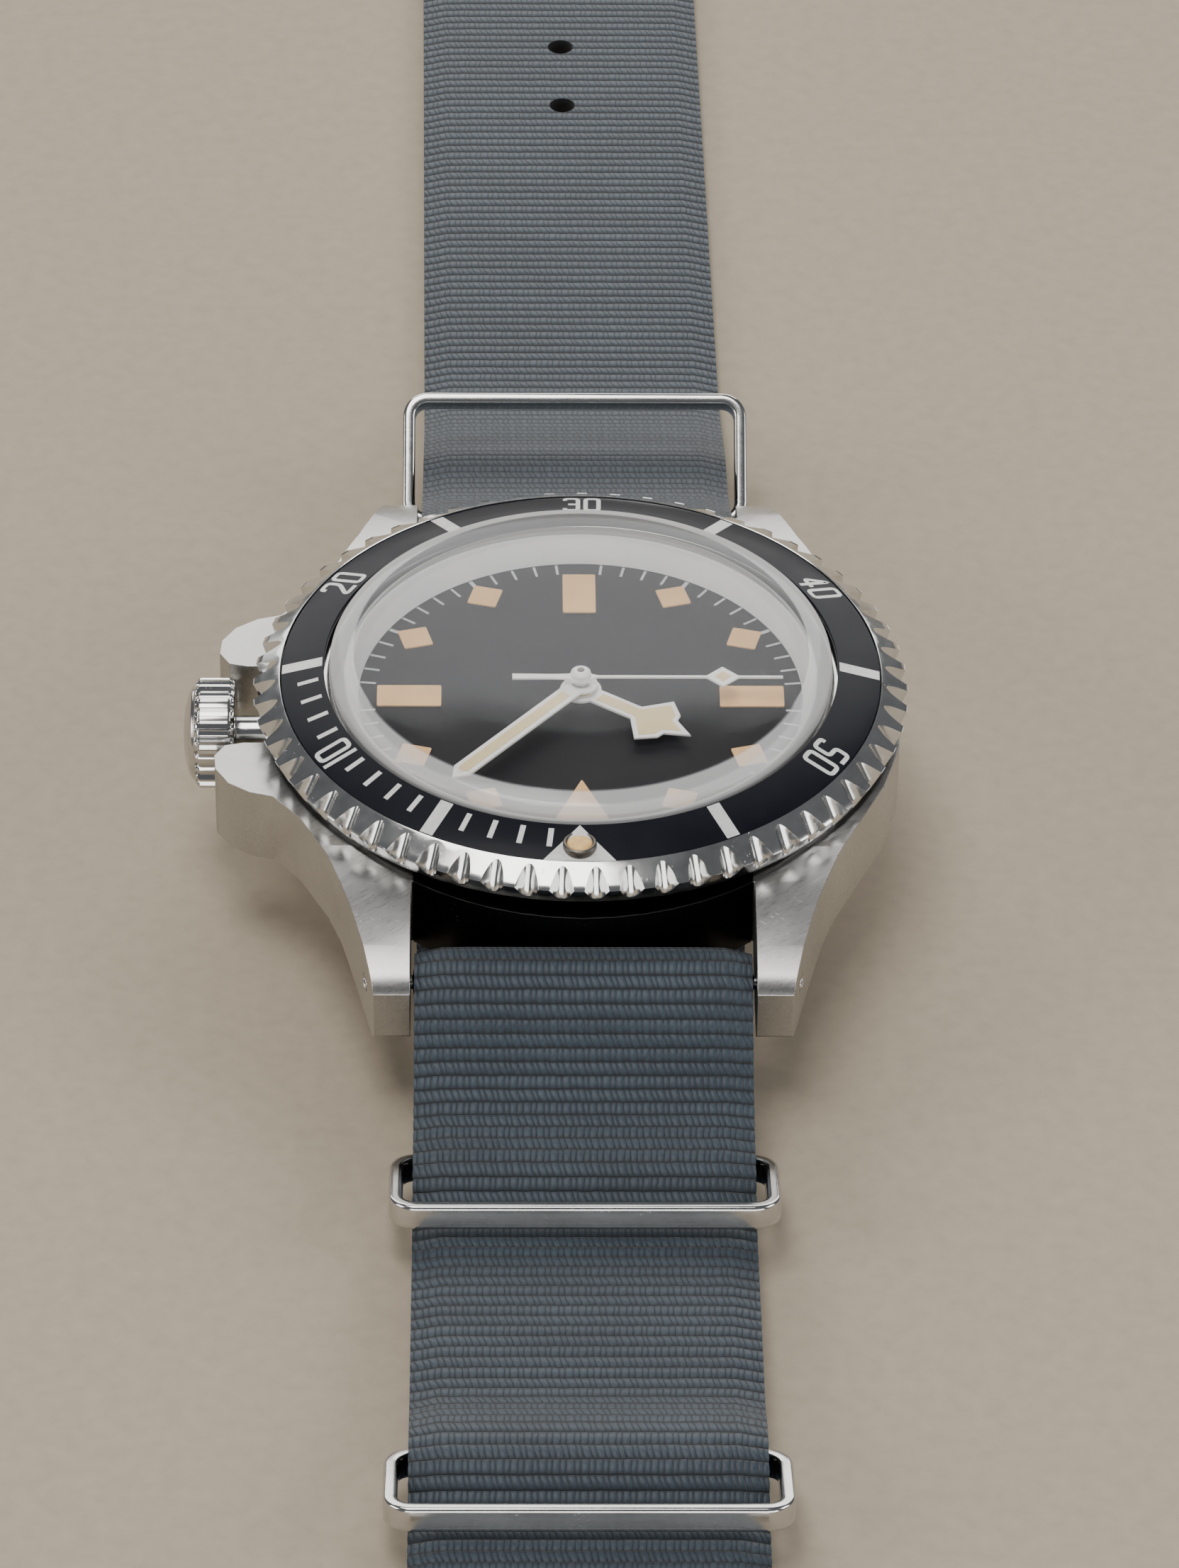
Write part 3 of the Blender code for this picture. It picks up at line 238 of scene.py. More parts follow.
def woven(name, painted_hollow_shade, thread, lit):
    """Rows of beads across the strap, a broad bead and a narrow one by turns, slanted in every second row.

    Across the strap a bead is half a sine wave over 0.58 or 0.42 of the pitch. Along it a row is an arch,
    the sine of the place in the row to the power 0.75, so that each bead is fullest near its far end.
    """
    look = Finish(name, Sheen_Weight=0.15, Sheen_Roughness=0.5, Specular_IOR_Level=0.42)
    across, along = look.place("UV", 0), look.place("UV", 1)
    waviness = (look.noise((1.1, 0.6, 1), 2.0, source="UV") - 0.5) * 0.35
    row = along / ROW_PITCH + waviness * 0.4
    second, place = row.maths("FLOOR") % 2.0, row % 1.0
    share = 0.58
    step = across / BEAD_PITCH + second * (place * 0.3 + 0.02) + waviness
    within = step % 1.0
    broad = within < share
    bead = ((broad * within / share + (1 - broad) * (within - share) / (1 - share)) * pi).maths("SINE")
    arch = ((place ** 0.75) * pi).maths("SINE")
    height = (arch ** 0.5) * ((bead ** 0.6) * (broad * 0.15 + 0.40) + 0.45)
    cloud = look.noise((0.12, 0.4, 1), 3.0, source="UV")
    fibre = look.noise((9, 3.5, 1), 3.0, source="UV")
    body = look.mix(look.ramp(cloud * 0.5 + fibre * 0.5, 0.36, 0.66), thread, lit)
    # painted shade: low places between rows and beads take the near-black first colour, shade in the hollows
    # of the weave
    return look.feed(Base_Color=look.mix(look.ramp(height, 0.22, 0.78), painted_hollow_shade, body),
                     Roughness=0.50 - height * 0.10 + fibre * 0.14,
                     Normal=look.bump(height + fibre * 0.10, 0.8, 0.12))


# the case steel carries a painted dark reflection within 10 mm of the middle plane, on the wall between the
# lugs
SATIN = steel("satin_steel", (0.52, 0.515, 0.50), 0.29, (500, 9000, 9000), turn=radians(-38), depth=0.012,
              scratched=1.2, spread=0.12, worn=0.03, painted_dark_reflection_within=0.01)
POLISHED = steel("polished_steel", (0.66, 0.655, 0.645), 0.13, (300, 1500, 1500), depth=0.008, scratched=0.8,
                 spread=0.05)
BRIGHT = steel("bright_bezel_steel", (0.74, 0.74, 0.73), 0.15, (900, 900, 900), depth=0.01, scratched=1.2,
               spread=0.12, worn=0.1)
GRAINED = steel("grained_movement_steel", (0.56, 0.56, 0.57), 0.25, (400, 6000, 6000))
RHODIUM = steel("rhodium_striped_plate", (0.62, 0.63, 0.65), 0.26, (1200, 200, 1200), turn=0.7)
GILT = steel("gilt_wheel_brass", (0.86, 0.66, 0.34), 0.24, (3000, 3000, 3000), depth=0.01)
BLUED = steel("blued_spring_steel", (0.10, 0.16, 0.42), 0.2, (500, 4000, 4000), depth=0.008)
# painted reflection: the flange is steel, given a matte near-white colour in place of its bright shine
FLANGE_PAINTED_BRIGHT = grainy("flange_steel_painted_bright", (0.86, 0.86, 0.85), 0.35, 0.04, 3000)
DARK_CUP = steel("darkened_cup_steel", (0.17, 0.155, 0.14), 0.36, (2500, 2500, 2500), depth=0.01)
INSERT_BLACK = worn_black("insert_black", (0.0025, 0.0032, 0.008), 0.40, 0.04)
DIAL_BLACK = worn_black("dial_matt_black", (0.012, 0.012, 0.014), 0.55, 0.0)
RUBBER = grainy("gasket_rubber", (0.02, 0.02, 0.02), 0.65, 0.3)
LUME = grainy("dial_aged_lume", (0.93, 0.55, 0.24), 0.65, 0.10, 5000)
PIP_LUME = grainy("pip_aged_lume", (0.92, 0.56, 0.20), 0.5, 0.16, 3500)
HAND_LUME = grainy("hand_cream_lume", (0.84, 0.68, 0.38), 0.6, 0.07, 5000)
HAND_WHITE = grainy("hand_white_edge", (0.92, 0.91, 0.88), 0.3, 0.05, 2500)
PRINT = grainy("dial_white_print", (0.62, 0.63, 0.64), 0.5, 0.12, 6000)
SILVER_PRINT = grainy("insert_silver_print", (0.70, 0.70, 0.69), 0.38, 0.10, 5000, metallic=0.15)
# the first colour is painted shade for the hollows of the weave
NYLON = woven("slate_woven_nylon", (0.0012, 0.0025, 0.005), (0.020, 0.032, 0.046), (0.040, 0.060, 0.080))


def clear_acrylic():
    """A clear dome: each side mirrors 2% face on and more towards a glancing view, by the fifth power of
    one less the cosine, and lets the rest straight through. Its thick rim is painted as a pale, half-opaque
    grey band that stands in for the light bent and mirrored in the rim."""
    look = Finish("clear_domed_acrylic", Roughness=0.11)
    weight = look.add("LayerWeight", {}, {"Blend": 0.5})
    glance = Signal(look, weight.outputs["Facing"])
    mirror = (glance ** 5.0) * 0.5 + 0.020
    x, y = look.place(part=0), look.place(part=1)
    radius = (x * x + y * y).maths("SQRT") * 1000
    # painted highlight: beyond this radius the dome is painted pale grey and made half opaque in place of its
    # refracted bright rim
    rim = look.ramp(radius, 13.55, 13.75)
    hair = look.ramp(look.noise((600, 16000, 600), 1.0, turn=0.9), 0.75, 0.8) * 0.06
    return look.feed(Base_Color=look.mix(rim, (0.96, 0.97, 1.0), (0.90, 0.90, 0.90)), Metallic=1 - rim,
                     Alpha=(mirror + rim * 0.44 + hair).maths("MINIMUM", 1.0))


ACRYLIC = clear_acrylic()


# ---------------------------------------------------------------- mesh helpers


def grid_faces(rows, columns, wrap_rows=False, wrap_columns=True):
    """Four-sided faces between neighbours on a grid that may close on itself either way."""
    r = np.arange(rows if wrap_rows else rows - 1)
    c = np.arange(columns if wrap_columns else columns - 1)
    here, there = np.meshgrid(r, c, indexing="ij")
    next_row, next_column = (here + 1) % rows, (there + 1) % columns
    corners = (here * columns + there, next_row * columns + there, next_row * columns + next_column,
               here * columns + next_column)
    return np.stack([corner.ravel() for corner in corners], axis=1).tolist()


def piece(name, points, faces, look, body, replaced=(), sharp=35, uv=None):
    """A finished piece from points in millimetres: merged, facing outwards and smooth up to an angle."""
    mesh = bpy.data.meshes.new(name)
    mesh.from_pydata((np.asarray(points, float).reshape(-1, 3) * MM).tolist(), [], faces)
    if uv is not None:
        layer = mesh.uv_layers.new(name="strap_mm")
        corners = np.empty(len(mesh.loops), np.int32)
        mesh.loops.foreach_get("vertex_index", corners)
        layer.data.foreach_set("uv", np.asarray(uv, float).reshape(-1, 2)[corners].ravel())
    return dress(bpy.data.objects.new(name, mesh), look, body, replaced, sharp)


def dress(obj, look, body, replaced=(), sharp=35, merge=True):
    """Merges and turns the faces out, shades it, and puts it on its body in place of its CAD nodes."""
    bpy.context.scene.collection.objects.link(obj)
    if merge:
        work = bmesh.new()
        work.from_mesh(obj.data)
        bmesh.ops.remove_doubles(work, verts=work.verts, dist=1e-7)
        bmesh.ops.dissolve_degenerate(work, edges=work.edges, dist=1e-8)
        bmesh.ops.recalc_face_normals(work, faces=work.faces)
        work.to_mesh(obj.data)
        work.free()
    obj.data.shade_smooth()
    obj.data.set_sharp_from_angle(angle=radians(sharp))
    obj.data.materials.clear()
    obj.data.materials.append(look)
    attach(obj, body)
    if replaced:
        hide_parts(*replaced)
    return obj


def rounded(points, radius, steps=4, closed=True):
    """A polygon whose corners are eased: each corner becomes a short parabola between its two sides."""
    points = np.asarray(points, float)
    before, after = np.roll(points, 1, axis=0), np.roll(points, -1, axis=0)
    reach = [np.minimum(radius, np.linalg.norm(side - points, axis=1) * 0.45)[:, None]
             for side in (before, after)]
    unit = [(side - points) / np.maximum(np.linalg.norm(side - points, axis=1), 1e-9)[:, None]
            for side in (before, after)]
    start, end = points + unit[0] * reach[0], points + unit[1] * reach[1]
    t = np.linspace(0, 1, steps)[None, :, None]
    eased = (1 - t) ** 2 * start[:, None] + 2 * t * (1 - t) * points[:, None] + t**2 * end[:, None]
    if closed:
        return eased.reshape(-1, points.shape[1])
    return np.concatenate([points[:1], eased[1:-1].reshape(-1, points.shape[1]), points[-1:]])


def revolved(name, profile, look, body, replaced=(), steps=160, easing=0.08, closed=True, along="Z",
             at=(0, 0, 0), sharp=35):
    """A profile of (radius, height), its corners eased, turned about an axis parallel to Z or X."""
    outline = rounded(profile, easing, closed=closed) if easing else np.asarray(profile, float)
    angle = np.linspace(0, 2 * pi, steps, endpoint=False)[:, None]
    radius, height = outline[None, :, 0], outline[None, :, 1] + 0 * angle
    spin = (radius * np.cos(angle), radius * np.sin(angle), height)
    points = np.stack(spin if along == "Z" else (spin[2], spin[0], spin[1]), axis=-1) + np.asarray(at, float)
    faces = grid_faces(steps, len(outline), True, closed)
    return piece(name, points, faces, look, body, replaced, sharp)


def plate(name, outline, low, high, look, body, replaced=(), easing=0.04, turn=0.0, at=(0, 0)):
    """A flat outline given its thickness, with a narrow sloping edge, turned about Z and put in its place."""
    outline = np.asarray(outline, float)
    middle = outline.mean(axis=0)
    size = np.abs(outline - middle).max()
    inner = middle + (outline - middle) * (1 - easing / size)
    c, s = cos(turn), sin(turn)
    spin = np.array([[c, s], [-s, c]])
    levels = [(inner, low), (outline, low + easing), (outline, high - easing), (inner, high)]
    rings = [np.column_stack([ring @ spin + np.asarray(at, float), np.full(len(ring), z)])
             for ring, z in levels]
    count = len(outline)
    faces = grid_faces(len(rings), count)
    faces += [list(range(count)), list(range((len(rings) - 1) * count, len(rings) * count))]
    return piece(name, np.concatenate(rings), faces, look, body, replaced, 30)


def arc(radius, first, last, count, centre=(0, 0)):
    angle = np.linspace(first, last, count)
    return np.column_stack([centre[0] + radius * np.cos(angle), centre[1] + radius * np.sin(angle)])


def softened(node, look, width, angle=32, segments=3):
    """A copy of a machined piece, merged, with its sharp edges rounded."""
    copy = bpy.data.objects.new(node + "_finished", frame["nodes"][node].data.copy())
    work = bmesh.new()
    work.from_mesh(copy.data)
    bmesh.ops.remove_doubles(work, verts=work.verts, dist=2e-6)
    bmesh.ops.dissolve_degenerate(work, edges=work.edges, dist=1e-6)
    bmesh.ops.dissolve_limit(work, angle_limit=radians(1.0), verts=work.verts, edges=work.edges)
    bmesh.ops.recalc_face_normals(work, faces=work.faces)
    work.to_mesh(copy.data)
    work.free()
    body = frame["nodes"][node]["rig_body"]
    dress(copy, look, body, [node], 30, merge=False)
    edge = copy.modifiers.new("Eased edges", "BEVEL")
    edge.width = width * MM
    edge.segments = segments
    edge.limit_method = "ANGLE"
    edge.angle_limit = radians(angle)
    return copy


# ---------------------------------------------------------------- case, crystal and crown


def make_case():
    softened("case_body", SATIN, 0.28)
    revolved("case_back_turned", [(0, 3.8), (13.1, 3.8), (13.3, 4.2), (13.3, 7.4), (13.85, 7.4), (13.85, 6.3),
                                  (16.1, 6.3), (16.1, 4.95), (15.3, 4.1), (14.6, 3.6), (13.3, 2.95),
                                  (12.6, 2.9), (0, 2.9)],
             POLISHED, "case", ["case_back"], closed=False)
    for name, y in (("spring_bar_12", SPRING_BAR_Y), ("spring_bar_6", -SPRING_BAR_Y)):
        shape = [(0, 12.6), (0.4, 12.6), (0.4, 9.85), (0.75, 9.8), (0.75, -9.8), (0.4, -9.85), (0.4, -12.6),
                 (0, -12.6)]
        revolved(name + "_turned", shape, POLISHED, "case", [name], 32, 0.06, False, "X",
                 (0, y, SPRING_BAR_Z))


def make_crystal():
    """The dome, its retaining ring and the sloping ring below it, painted near white as a painted reflection.
    """
    top = [(0, 16.7), (4, 16.64), (8, 16.40), (11, 16.02), (13.2, 15.58), (14.4, 15.2), (14.9, 14.85),
           (15.05, 14.5), (15.05, 11.3), (14.25, 11.3), (14.25, 13.8), (13.8, 14.4), (12.5, 14.75),
           (8, 15.3), (0, 15.6)]
    revolved("crystal_dome", top, ACRYLIC, "case", ["crystal"], 192, 1.2, False, sharp=60)
    revolved("crystal_ring_turned", [(15.12, 13.4), (16.35, 13.4), (16.35, 11.3), (15.12, 11.3)], POLISHED,
             "case", ["crystal_ring"])
    flange = [(13.95, 13.55), (14.15, 13.55), (14.15, 12.5), (13.85, 12.5), (13.8, 11.85), (13.3, 11.85)]
    revolved("flange_turned", flange, FLANGE_PAINTED_BRIGHT, "case", ["inner_flange"], easing=0.05)


def make_crown():
    """Flutes round the crown: the radius falls in each flute by half a cosine, fading out at both ends."""
    profile = rounded([(0, 22.5), (1.25, 22.5), (1.25, 20.7), (3.0, 20.7), (3.3, 21.0), (3.3, 22.85),
                       (3.05, 23.1), (2.85, 23.12), (2.8, 23.3), (2.45, 23.5), (1.5, 23.75), (0, 23.85)],
                      0.12, 5, closed=False)
    flutes, per_flute = 24, 14
    angle = np.linspace(0, 2 * pi, flutes * per_flute, endpoint=False)[:, None]
    wave = np.clip(np.cos(angle * flutes) * 1.6, -1, 1) * 0.5 + 0.5
    radius, along = profile[None, :, 0], profile[None, :, 1]
    outside = np.clip((radius - 3.06) / 0.2, 0, 1)
    spun = radius - 0.3 * wave * outside
    points = np.stack([along + 0 * angle, spun * np.cos(angle), STEM_Z + spun * np.sin(angle)], axis=-1)
    faces = grid_faces(flutes * per_flute, len(profile), True, False)
    piece("crown_fluted", points, faces, POLISHED, "crown", ["crown"], 40)
    revolved("crown_tube_turned", [(0.7, 21.9), (1.05, 21.9), (1.05, 14.3), (0.7, 14.3)], POLISHED, "case",
             ["crown_tube"], 40, 0.05, along="X", at=(0, 0, STEM_Z))


# ---------------------------------------------------------------- bezel and insert


def make_bezel_ring():
    """A sloping ring whose rim is cut by sixty leaning troughs.

    In side view a trough's floor leans from (18.3, 13.47) on the top slope down and out to the underside
    cone. Its wall stands further out by a share, (offset / half width) to the power 2.2, of the distance
    to the rim at (19.6, 12.7), so its edge draws a blunt arch on the slope and a hanging arc below.
    """
    grooves, rim, rim_z, half = 60, 19.6, 12.7, 0.72
    head, head_z, lean, undercut = 18.3, 13.47, 0.509, 0.5
    crest, crest_z, bore = 18.05, 13.62, 16.45
    pitch = 2 * pi / grooves
    wide = half / (pitch * rim)
    place = np.concatenate([[-0.5, -wide - 0.01], np.linspace(-wide, wide, 25), [wide + 0.01]])
    angle = (np.arange(grooves)[:, None] + place[None, :]).ravel() * pitch + pi / 2 + BEZEL_TURN + pitch / 2
    reach = rim - head - (head_z - rim_z) * lean
    wall = np.tile(reach * np.clip(np.abs(place) / wide, 0, 1) ** 2.2, grooves)
    slope = (crest_z - rim_z) / (rim - crest)
    edge = (head + (head_z - crest_z - crest * slope) * lean + wall) / (1 - slope * lean)
    foot_z = (head + head_z * lean + wall - rim + rim_z * undercut) / (lean + undercut)
    foot = rim - (rim_z - foot_z) * undercut
    edge_z = crest_z - (edge - crest) * slope
    still = 0 * angle
    rows = [(bore + still, 11.48 + still), (bore + still, 13.45 + still), (17.97 + still, 13.05 + still),
            (17.97 + still, 13.6 + still), (18.0 + still, 13.64 + still)]
    for part in np.linspace(0.0, 1.0, 5):
        r = 18.06 + (edge - 0.04 - 18.06) * part
        rows.append((r, crest_z - (r - crest) * slope))
    for part in (0.03, 0.25, 0.5, 0.75, 0.97):
        wall_z = (edge_z - 0.02) * (1 - part) + (foot_z + 0.02) * part
        rows.append((edge * (1 - part) + foot * part - 0.012, wall_z))
    rows += [(foot - 0.03, foot_z - 0.03), (19.0 + still, 11.5 + still), (18.6 + still, 11.48 + still)]
    points = np.stack([np.stack([r * np.cos(angle), r * np.sin(angle), z], axis=-1) for r, z in rows])
    piece("bezel_ring_grooved", points, grid_faces(len(rows), len(angle), True, True), BRIGHT, "bezel",
          ["bezel_ring"], 26)


def on_insert(across, radius, lift, angle):
    """A place on the insert: so far clockwise of an angle, at a radius, and lifted off its slope."""
    turn = pi / 2 + BEZEL_TURN - angle
    way_x, way_y = cos(turn), sin(turn)
    x, y = radius * way_x + across * way_y, radius * way_y - across * way_x
    true = np.hypot(x, y)
    slope = (INSERT_HIGH - INSERT_LOW) / (INSERT_OUT - INSERT_IN)
    return np.stack([x, y, INSERT_HIGH - (true - INSERT_IN) * slope + lift], axis=-1)


def stroke(path, width, closed):
    """The two edges of a line of even width along a flat path."""
    path = np.asarray(path, float)
    ahead = np.roll(path, -1, axis=0) - path
    behind = path - np.roll(path, 1, axis=0)
    if not closed:
        ahead[-1], behind[0] = behind[-1], ahead[0]
    unit = [side / np.maximum(np.linalg.norm(side, axis=1), 1e-9)[:, None] for side in (ahead, behind)]
    mean = unit[0] + unit[1]
    mean /= np.linalg.norm(mean, axis=1)[:, None]
    stretch = 1 / np.maximum((mean * unit[0]).sum(axis=1), 0.5)
    side = np.column_stack([mean[:, 1], -mean[:, 0]]) * (width / 2 * stretch)[:, None]
    return path - side, path + side


def drawn(name, lines, put, depth, lift, look, body, shapes=()):
    """Lines of (path, width, closed, angle), and filled shapes, as one thin raised piece on a surface."""
    points, faces = [], []
    for path, width, closed, angle in lines:
        left, right = stroke(path, width, closed)
        rings = [put(side[:, 0], side[:, 1], level, angle)
                 for side, level in ((left, -depth), (left, lift), (right, lift), (right, -depth))]
        count, start = len(left), sum(len(p) for p in points)
        points.append(np.stack(rings, axis=1).reshape(-1, 3))
        faces += [[start + i for i in face] for face in grid_faces(count, 4, closed, True)]
        if not closed:
            faces += [[start + i for i in range(4)], [start + (count - 1) * 4 + i for i in range(4)]]
    for outline, angle in shapes:
        outline = np.asarray(outline, float)
        count, start = len(outline), sum(len(p) for p in points)
        both = [put(outline[:, 0], outline[:, 1], level, angle) for level in (-depth, lift)]
        points.append(np.concatenate(both))
        faces += [[start + i for i in face] for face in grid_faces(2, count)]
        faces += [[start + i for i in range(count)], [start + count + i for i in range(count)]]
    return piece(name, np.concatenate(points), faces, look, body)


def digit(figure, left):
    """A squared figure with round corners, as the middle of its stroke, from its left edge outwards."""
    low, high, wide = 15.74, 17.62, 0.80
    mid = (low + high) / 2
    shapes = {
        "0": ([(0, low), (wide, low), (wide, high), (0, high)], True),
        "1": ([(0.1, low - 0.14), (0.1, high + 0.14)], False),
        "2": ([(0, high - 0.35), (0, high), (wide, high), (wide, mid + 0.1), (0, low + 0.2), (0, low),
               (wide + 0.1, low)], False),
        "3": ([(0, high - 0.3), (0, high), (wide, high), (wide, low), (0, low), (0, low + 0.3)], False),
        "4": ([(wide * 0.7, low - 0.14), (wide * 0.7, high), (0, low + 0.5),
               (wide + 0.12, low + 0.5)], False),
        "5": ([(wide + 0.05, high), (0, high), (0, mid + 0.1), (wide, mid + 0.1), (wide, low), (0, low),
               (0, low + 0.3)], False),
    }
    path, closed = shapes[figure]
    eased = rounded(path, 0.26, 5, closed) if figure != "1" else np.asarray(path, float)
    return eased + np.array([left, 0.0]), closed


def make_insert():
    revolved("insert_black_ring", [(INSERT_IN, INSERT_HIGH), (INSERT_OUT, INSERT_LOW), (INSERT_OUT, 13.2),
                                   (INSERT_IN, 13.92)], INSERT_BLACK, "bezel",
             ["bezel_insert"], 240, 0.06)
    lines = []
    for minute in (5, 15, 25, 35, 45, 55):
        lines.append(([(0, 15.45), (0, 16.6), (0, 17.86)], 0.84, False, radians(6 * minute)))
    for minute in [m for m in range(1, 15) if m % 5]:
        lines.append(([(0, 15.72), (0, 16.96)], 0.32, False, radians(6 * minute)))
    for ten in "12345":
        first, closed = digit(ten, -1.05 if ten != "1" else -0.78)
        nought, ring = digit("0", 0.22 if ten != "1" else -0.20)
        way = radians(60 * int(ten))
        lines += [(first, 0.27, closed, way), (nought, 0.27, ring, way)]
        if ten == "3":
            lines.append(([(-0.85, 16.68), (-0.28, 16.68)], 0.27, False, way))
    triangle = [(0.0, 15.42), (1.05, 16.62), (2.12, 17.80), (1.2, 17.87), (0, 17.89), (-1.2, 17.87),
                (-2.12, 17.80), (-1.05, 16.62)]
    drawn("insert_numerals", lines, on_insert, 0.05, 0.014, SILVER_PRINT, "bezel",
          [(triangle, 0.0)])
    at = (-16.75 * sin(BEZEL_TURN), 16.75 * cos(BEZEL_TURN), 0)
    dome = [(0, 14.16), (0.45, 14.13), (0.72, 14.05), (0.78, 13.9), (0.78, 13.56), (0, 13.56)]
    revolved("pip_lume_dome", dome, PIP_LUME, "bezel", ["bezel_pip"], 48, 0.1, False, at=at)
    revolved("pip_metal_cup", [(0.76, 13.6), (0.76, 14.08), (0.86, 14.14), (0.98, 14.08), (1.0, 13.6)],
             DARK_CUP, "bezel", [], 48, 0.04, at=at)


# ---------------------------------------------------------------- dial and hands


def on_dial(across, radius, lift, angle):
    """A place on the dial, so far clockwise of an angle and so far out."""
    way_x, way_y = sin(angle), cos(angle)
    return np.stack([radius * way_x + across * way_y, radius * way_y - across * way_x,
                     DIAL_TOP + lift + 0 * radius], axis=-1)


def box_shape(half_width, inner, outer):
    return [(-half_width, inner), (half_width, inner), (half_width, outer), (-half_width, outer)]


def make_dial():
    """The dial, its minute ticks and its blocks of lume: bars, squares on their corners and a triangle."""
    revolved("dial_disc", [(0.84, DIAL_TOP), (13.75, DIAL_TOP), (13.75, 11.4), (0.84, 11.4)], DIAL_BLACK,
             "case", ["dial"], 180, 0.03)
    ticks = []
    for minute in range(60):
        wide, inner = (0.26, 12.1) if minute % 5 == 0 else (0.16, 12.35)
        if minute % 15:
            ticks.append(([(0, inner), (0, 13.3)], wide, False, radians(6 * minute)))
    drawn("dial_minute_ticks", ticks, on_dial, 0.02, 0.012, PRINT, "case")
    blocks = [(rounded(box_shape(1.0, 8.35, 12.2), 0.12), radians(way)) for way in (90, 180, 270)]
    corner = 1.25
    diamond = [(0, 11.5 - corner), (corner, 11.5), (0, 11.5 + corner), (-corner, 11.5)]
    blocks += [(rounded(diamond, 0.1), radians(way)) for way in (30, 60, 120, 150, 210, 240, 300, 330)]
    blocks.append((rounded([(0, 8.1), (1.75, 12.2), (-1.75, 12.2)], 0.15), 0.0))
    drawn("dial_lume_blocks", [], on_dial, 0.02, 0.09, LUME, "case", blocks)


def make_hands():
    """Outlines along +Y, filled with lume a little above the white edge."""
    hour_turn, minute_turn, second_turn = radians(-304.5), radians(-40), radians(-270)
    head = [(0.62, 4.0), (2.15, 5.3), (1.25, 6.35), (0.75, 6.45), (0, 7.9)]
    start = np.arccos(0.62 / 1.25)
    hour = np.concatenate([arc(1.25, pi - start, 2 * pi + start, 40), head,
                           [(-x, y) for x, y in head[-2::-1]]])
    plate("hour_hand_edge", hour, 12.25, 12.4, HAND_WHITE, "hour", ["hour_hand"],
          turn=hour_turn)
    fill = [(0.36, 1.35), (0.36, 4.12), (1.74, 5.33), (1.1, 6.07), (0.55, 6.18), (0, 7.2)]
    fill += [(-x, y) for x, y in fill[-2::-1]]
    plate("hour_hand_lume", fill, 12.36, 12.43, HAND_LUME, "hour", turn=hour_turn)
    start = np.arccos(0.62 / 1.0)
    minute = np.concatenate([arc(1.0, pi - start, 2 * pi + start, 40),
                             [(0.62, 11.0), (0, 11.9), (-0.62, 11.0)]])
    plate("minute_hand_edge", minute, 12.7, 12.85, HAND_WHITE, "minute", ["minute_hand"],
          turn=minute_turn)
    fill = [(0.33, 1.35), (0.33, 10.85), (0, 11.35), (-0.33, 10.85), (-0.33, 1.35)]
    plate("minute_hand_lume", fill, 12.81, 12.88, HAND_LUME, "minute", turn=minute_turn)
    right = [(0.24, -4.1), (0.2, -1.6), (0.24, -0.7), (0.62, -0.3), (0.62, 0.3), (0.2, 0.7), (0.09, 1.0),
             (0.09, 7.55), (0.95, 8.5), (0.09, 9.45), (0.09, 12.1)]
    second = right + [(-x, y) for x, y in right[::-1]]
    plate("seconds_hand_edge", second, 13.25, 13.37, HAND_WHITE, "seconds", ["seconds_hand"],
          0.02, second_turn)
    plate("seconds_hand_lume", [(0, 8.0), (0.52, 8.5), (0, 9.0), (-0.52, 8.5)], 13.33, 13.4, HAND_LUME,
          "seconds", turn=second_turn)
    revolved("seconds_arbor_tip", [(0, 13.89), (0.2, 13.88), (0.24, 13.8), (0.24, 13.6), (0, 13.6)], DARK_CUP,
             "seconds", [], 32, 0.03, False)
    revolved("seconds_hand_boss", [(0, 13.85), (0.42, 13.83), (0.6, 13.7), (0.62, 13.2), (0, 13.2)],
             HAND_WHITE, "seconds", [], 40, 0.06, False)


# ---------------------------------------------------------------- strap, keepers and buckle

STRAP_WIDE, STRAP_THICK = 19.6, 1.2
KEEPER_BAR_Z = 2.15
KEEPER_1_Y, KEEPER_2_Y, KEEPER_3_Y = 31.6, 55.7, -31.0
BUCKLE_BAR = (77.0, 1.9)
TAIL_TIP, TAIL_STRAIGHT, TAIL_SLANT = -190.0, -40, 0.0105
FIRST_HOLE, HOLE_STEP, HOLE_COUNT, HOLE_RADIUS = -82.2, 7.7, 9, 0.9


def bend(centre, radius, first, last, count):
    return [tuple(p) for p in arc(radius, radians(first), radians(last), count, centre)]


def smooth_path(points, step):
    """A curve through the points, eased by averaging neighbours after cutting it into even steps."""
    points = np.asarray(points, float)
    for _ in range(2):
        near, far = points[:-1] * 0.75 + points[1:] * 0.25, points[:-1] * 0.25 + points[1:] * 0.75
        points = np.concatenate([points[:1], np.stack([near, far], axis=1).reshape(-1, 2), points[-1:]])
    run = np.concatenate([[0], np.cumsum(np.linalg.norm(np.diff(points, axis=0), axis=1))])
    at = np.linspace(0, run[-1], int(run[-1] / step) + 1)
    return np.column_stack([np.interp(at, run, points[:, i]) for i in (0, 1)]), at


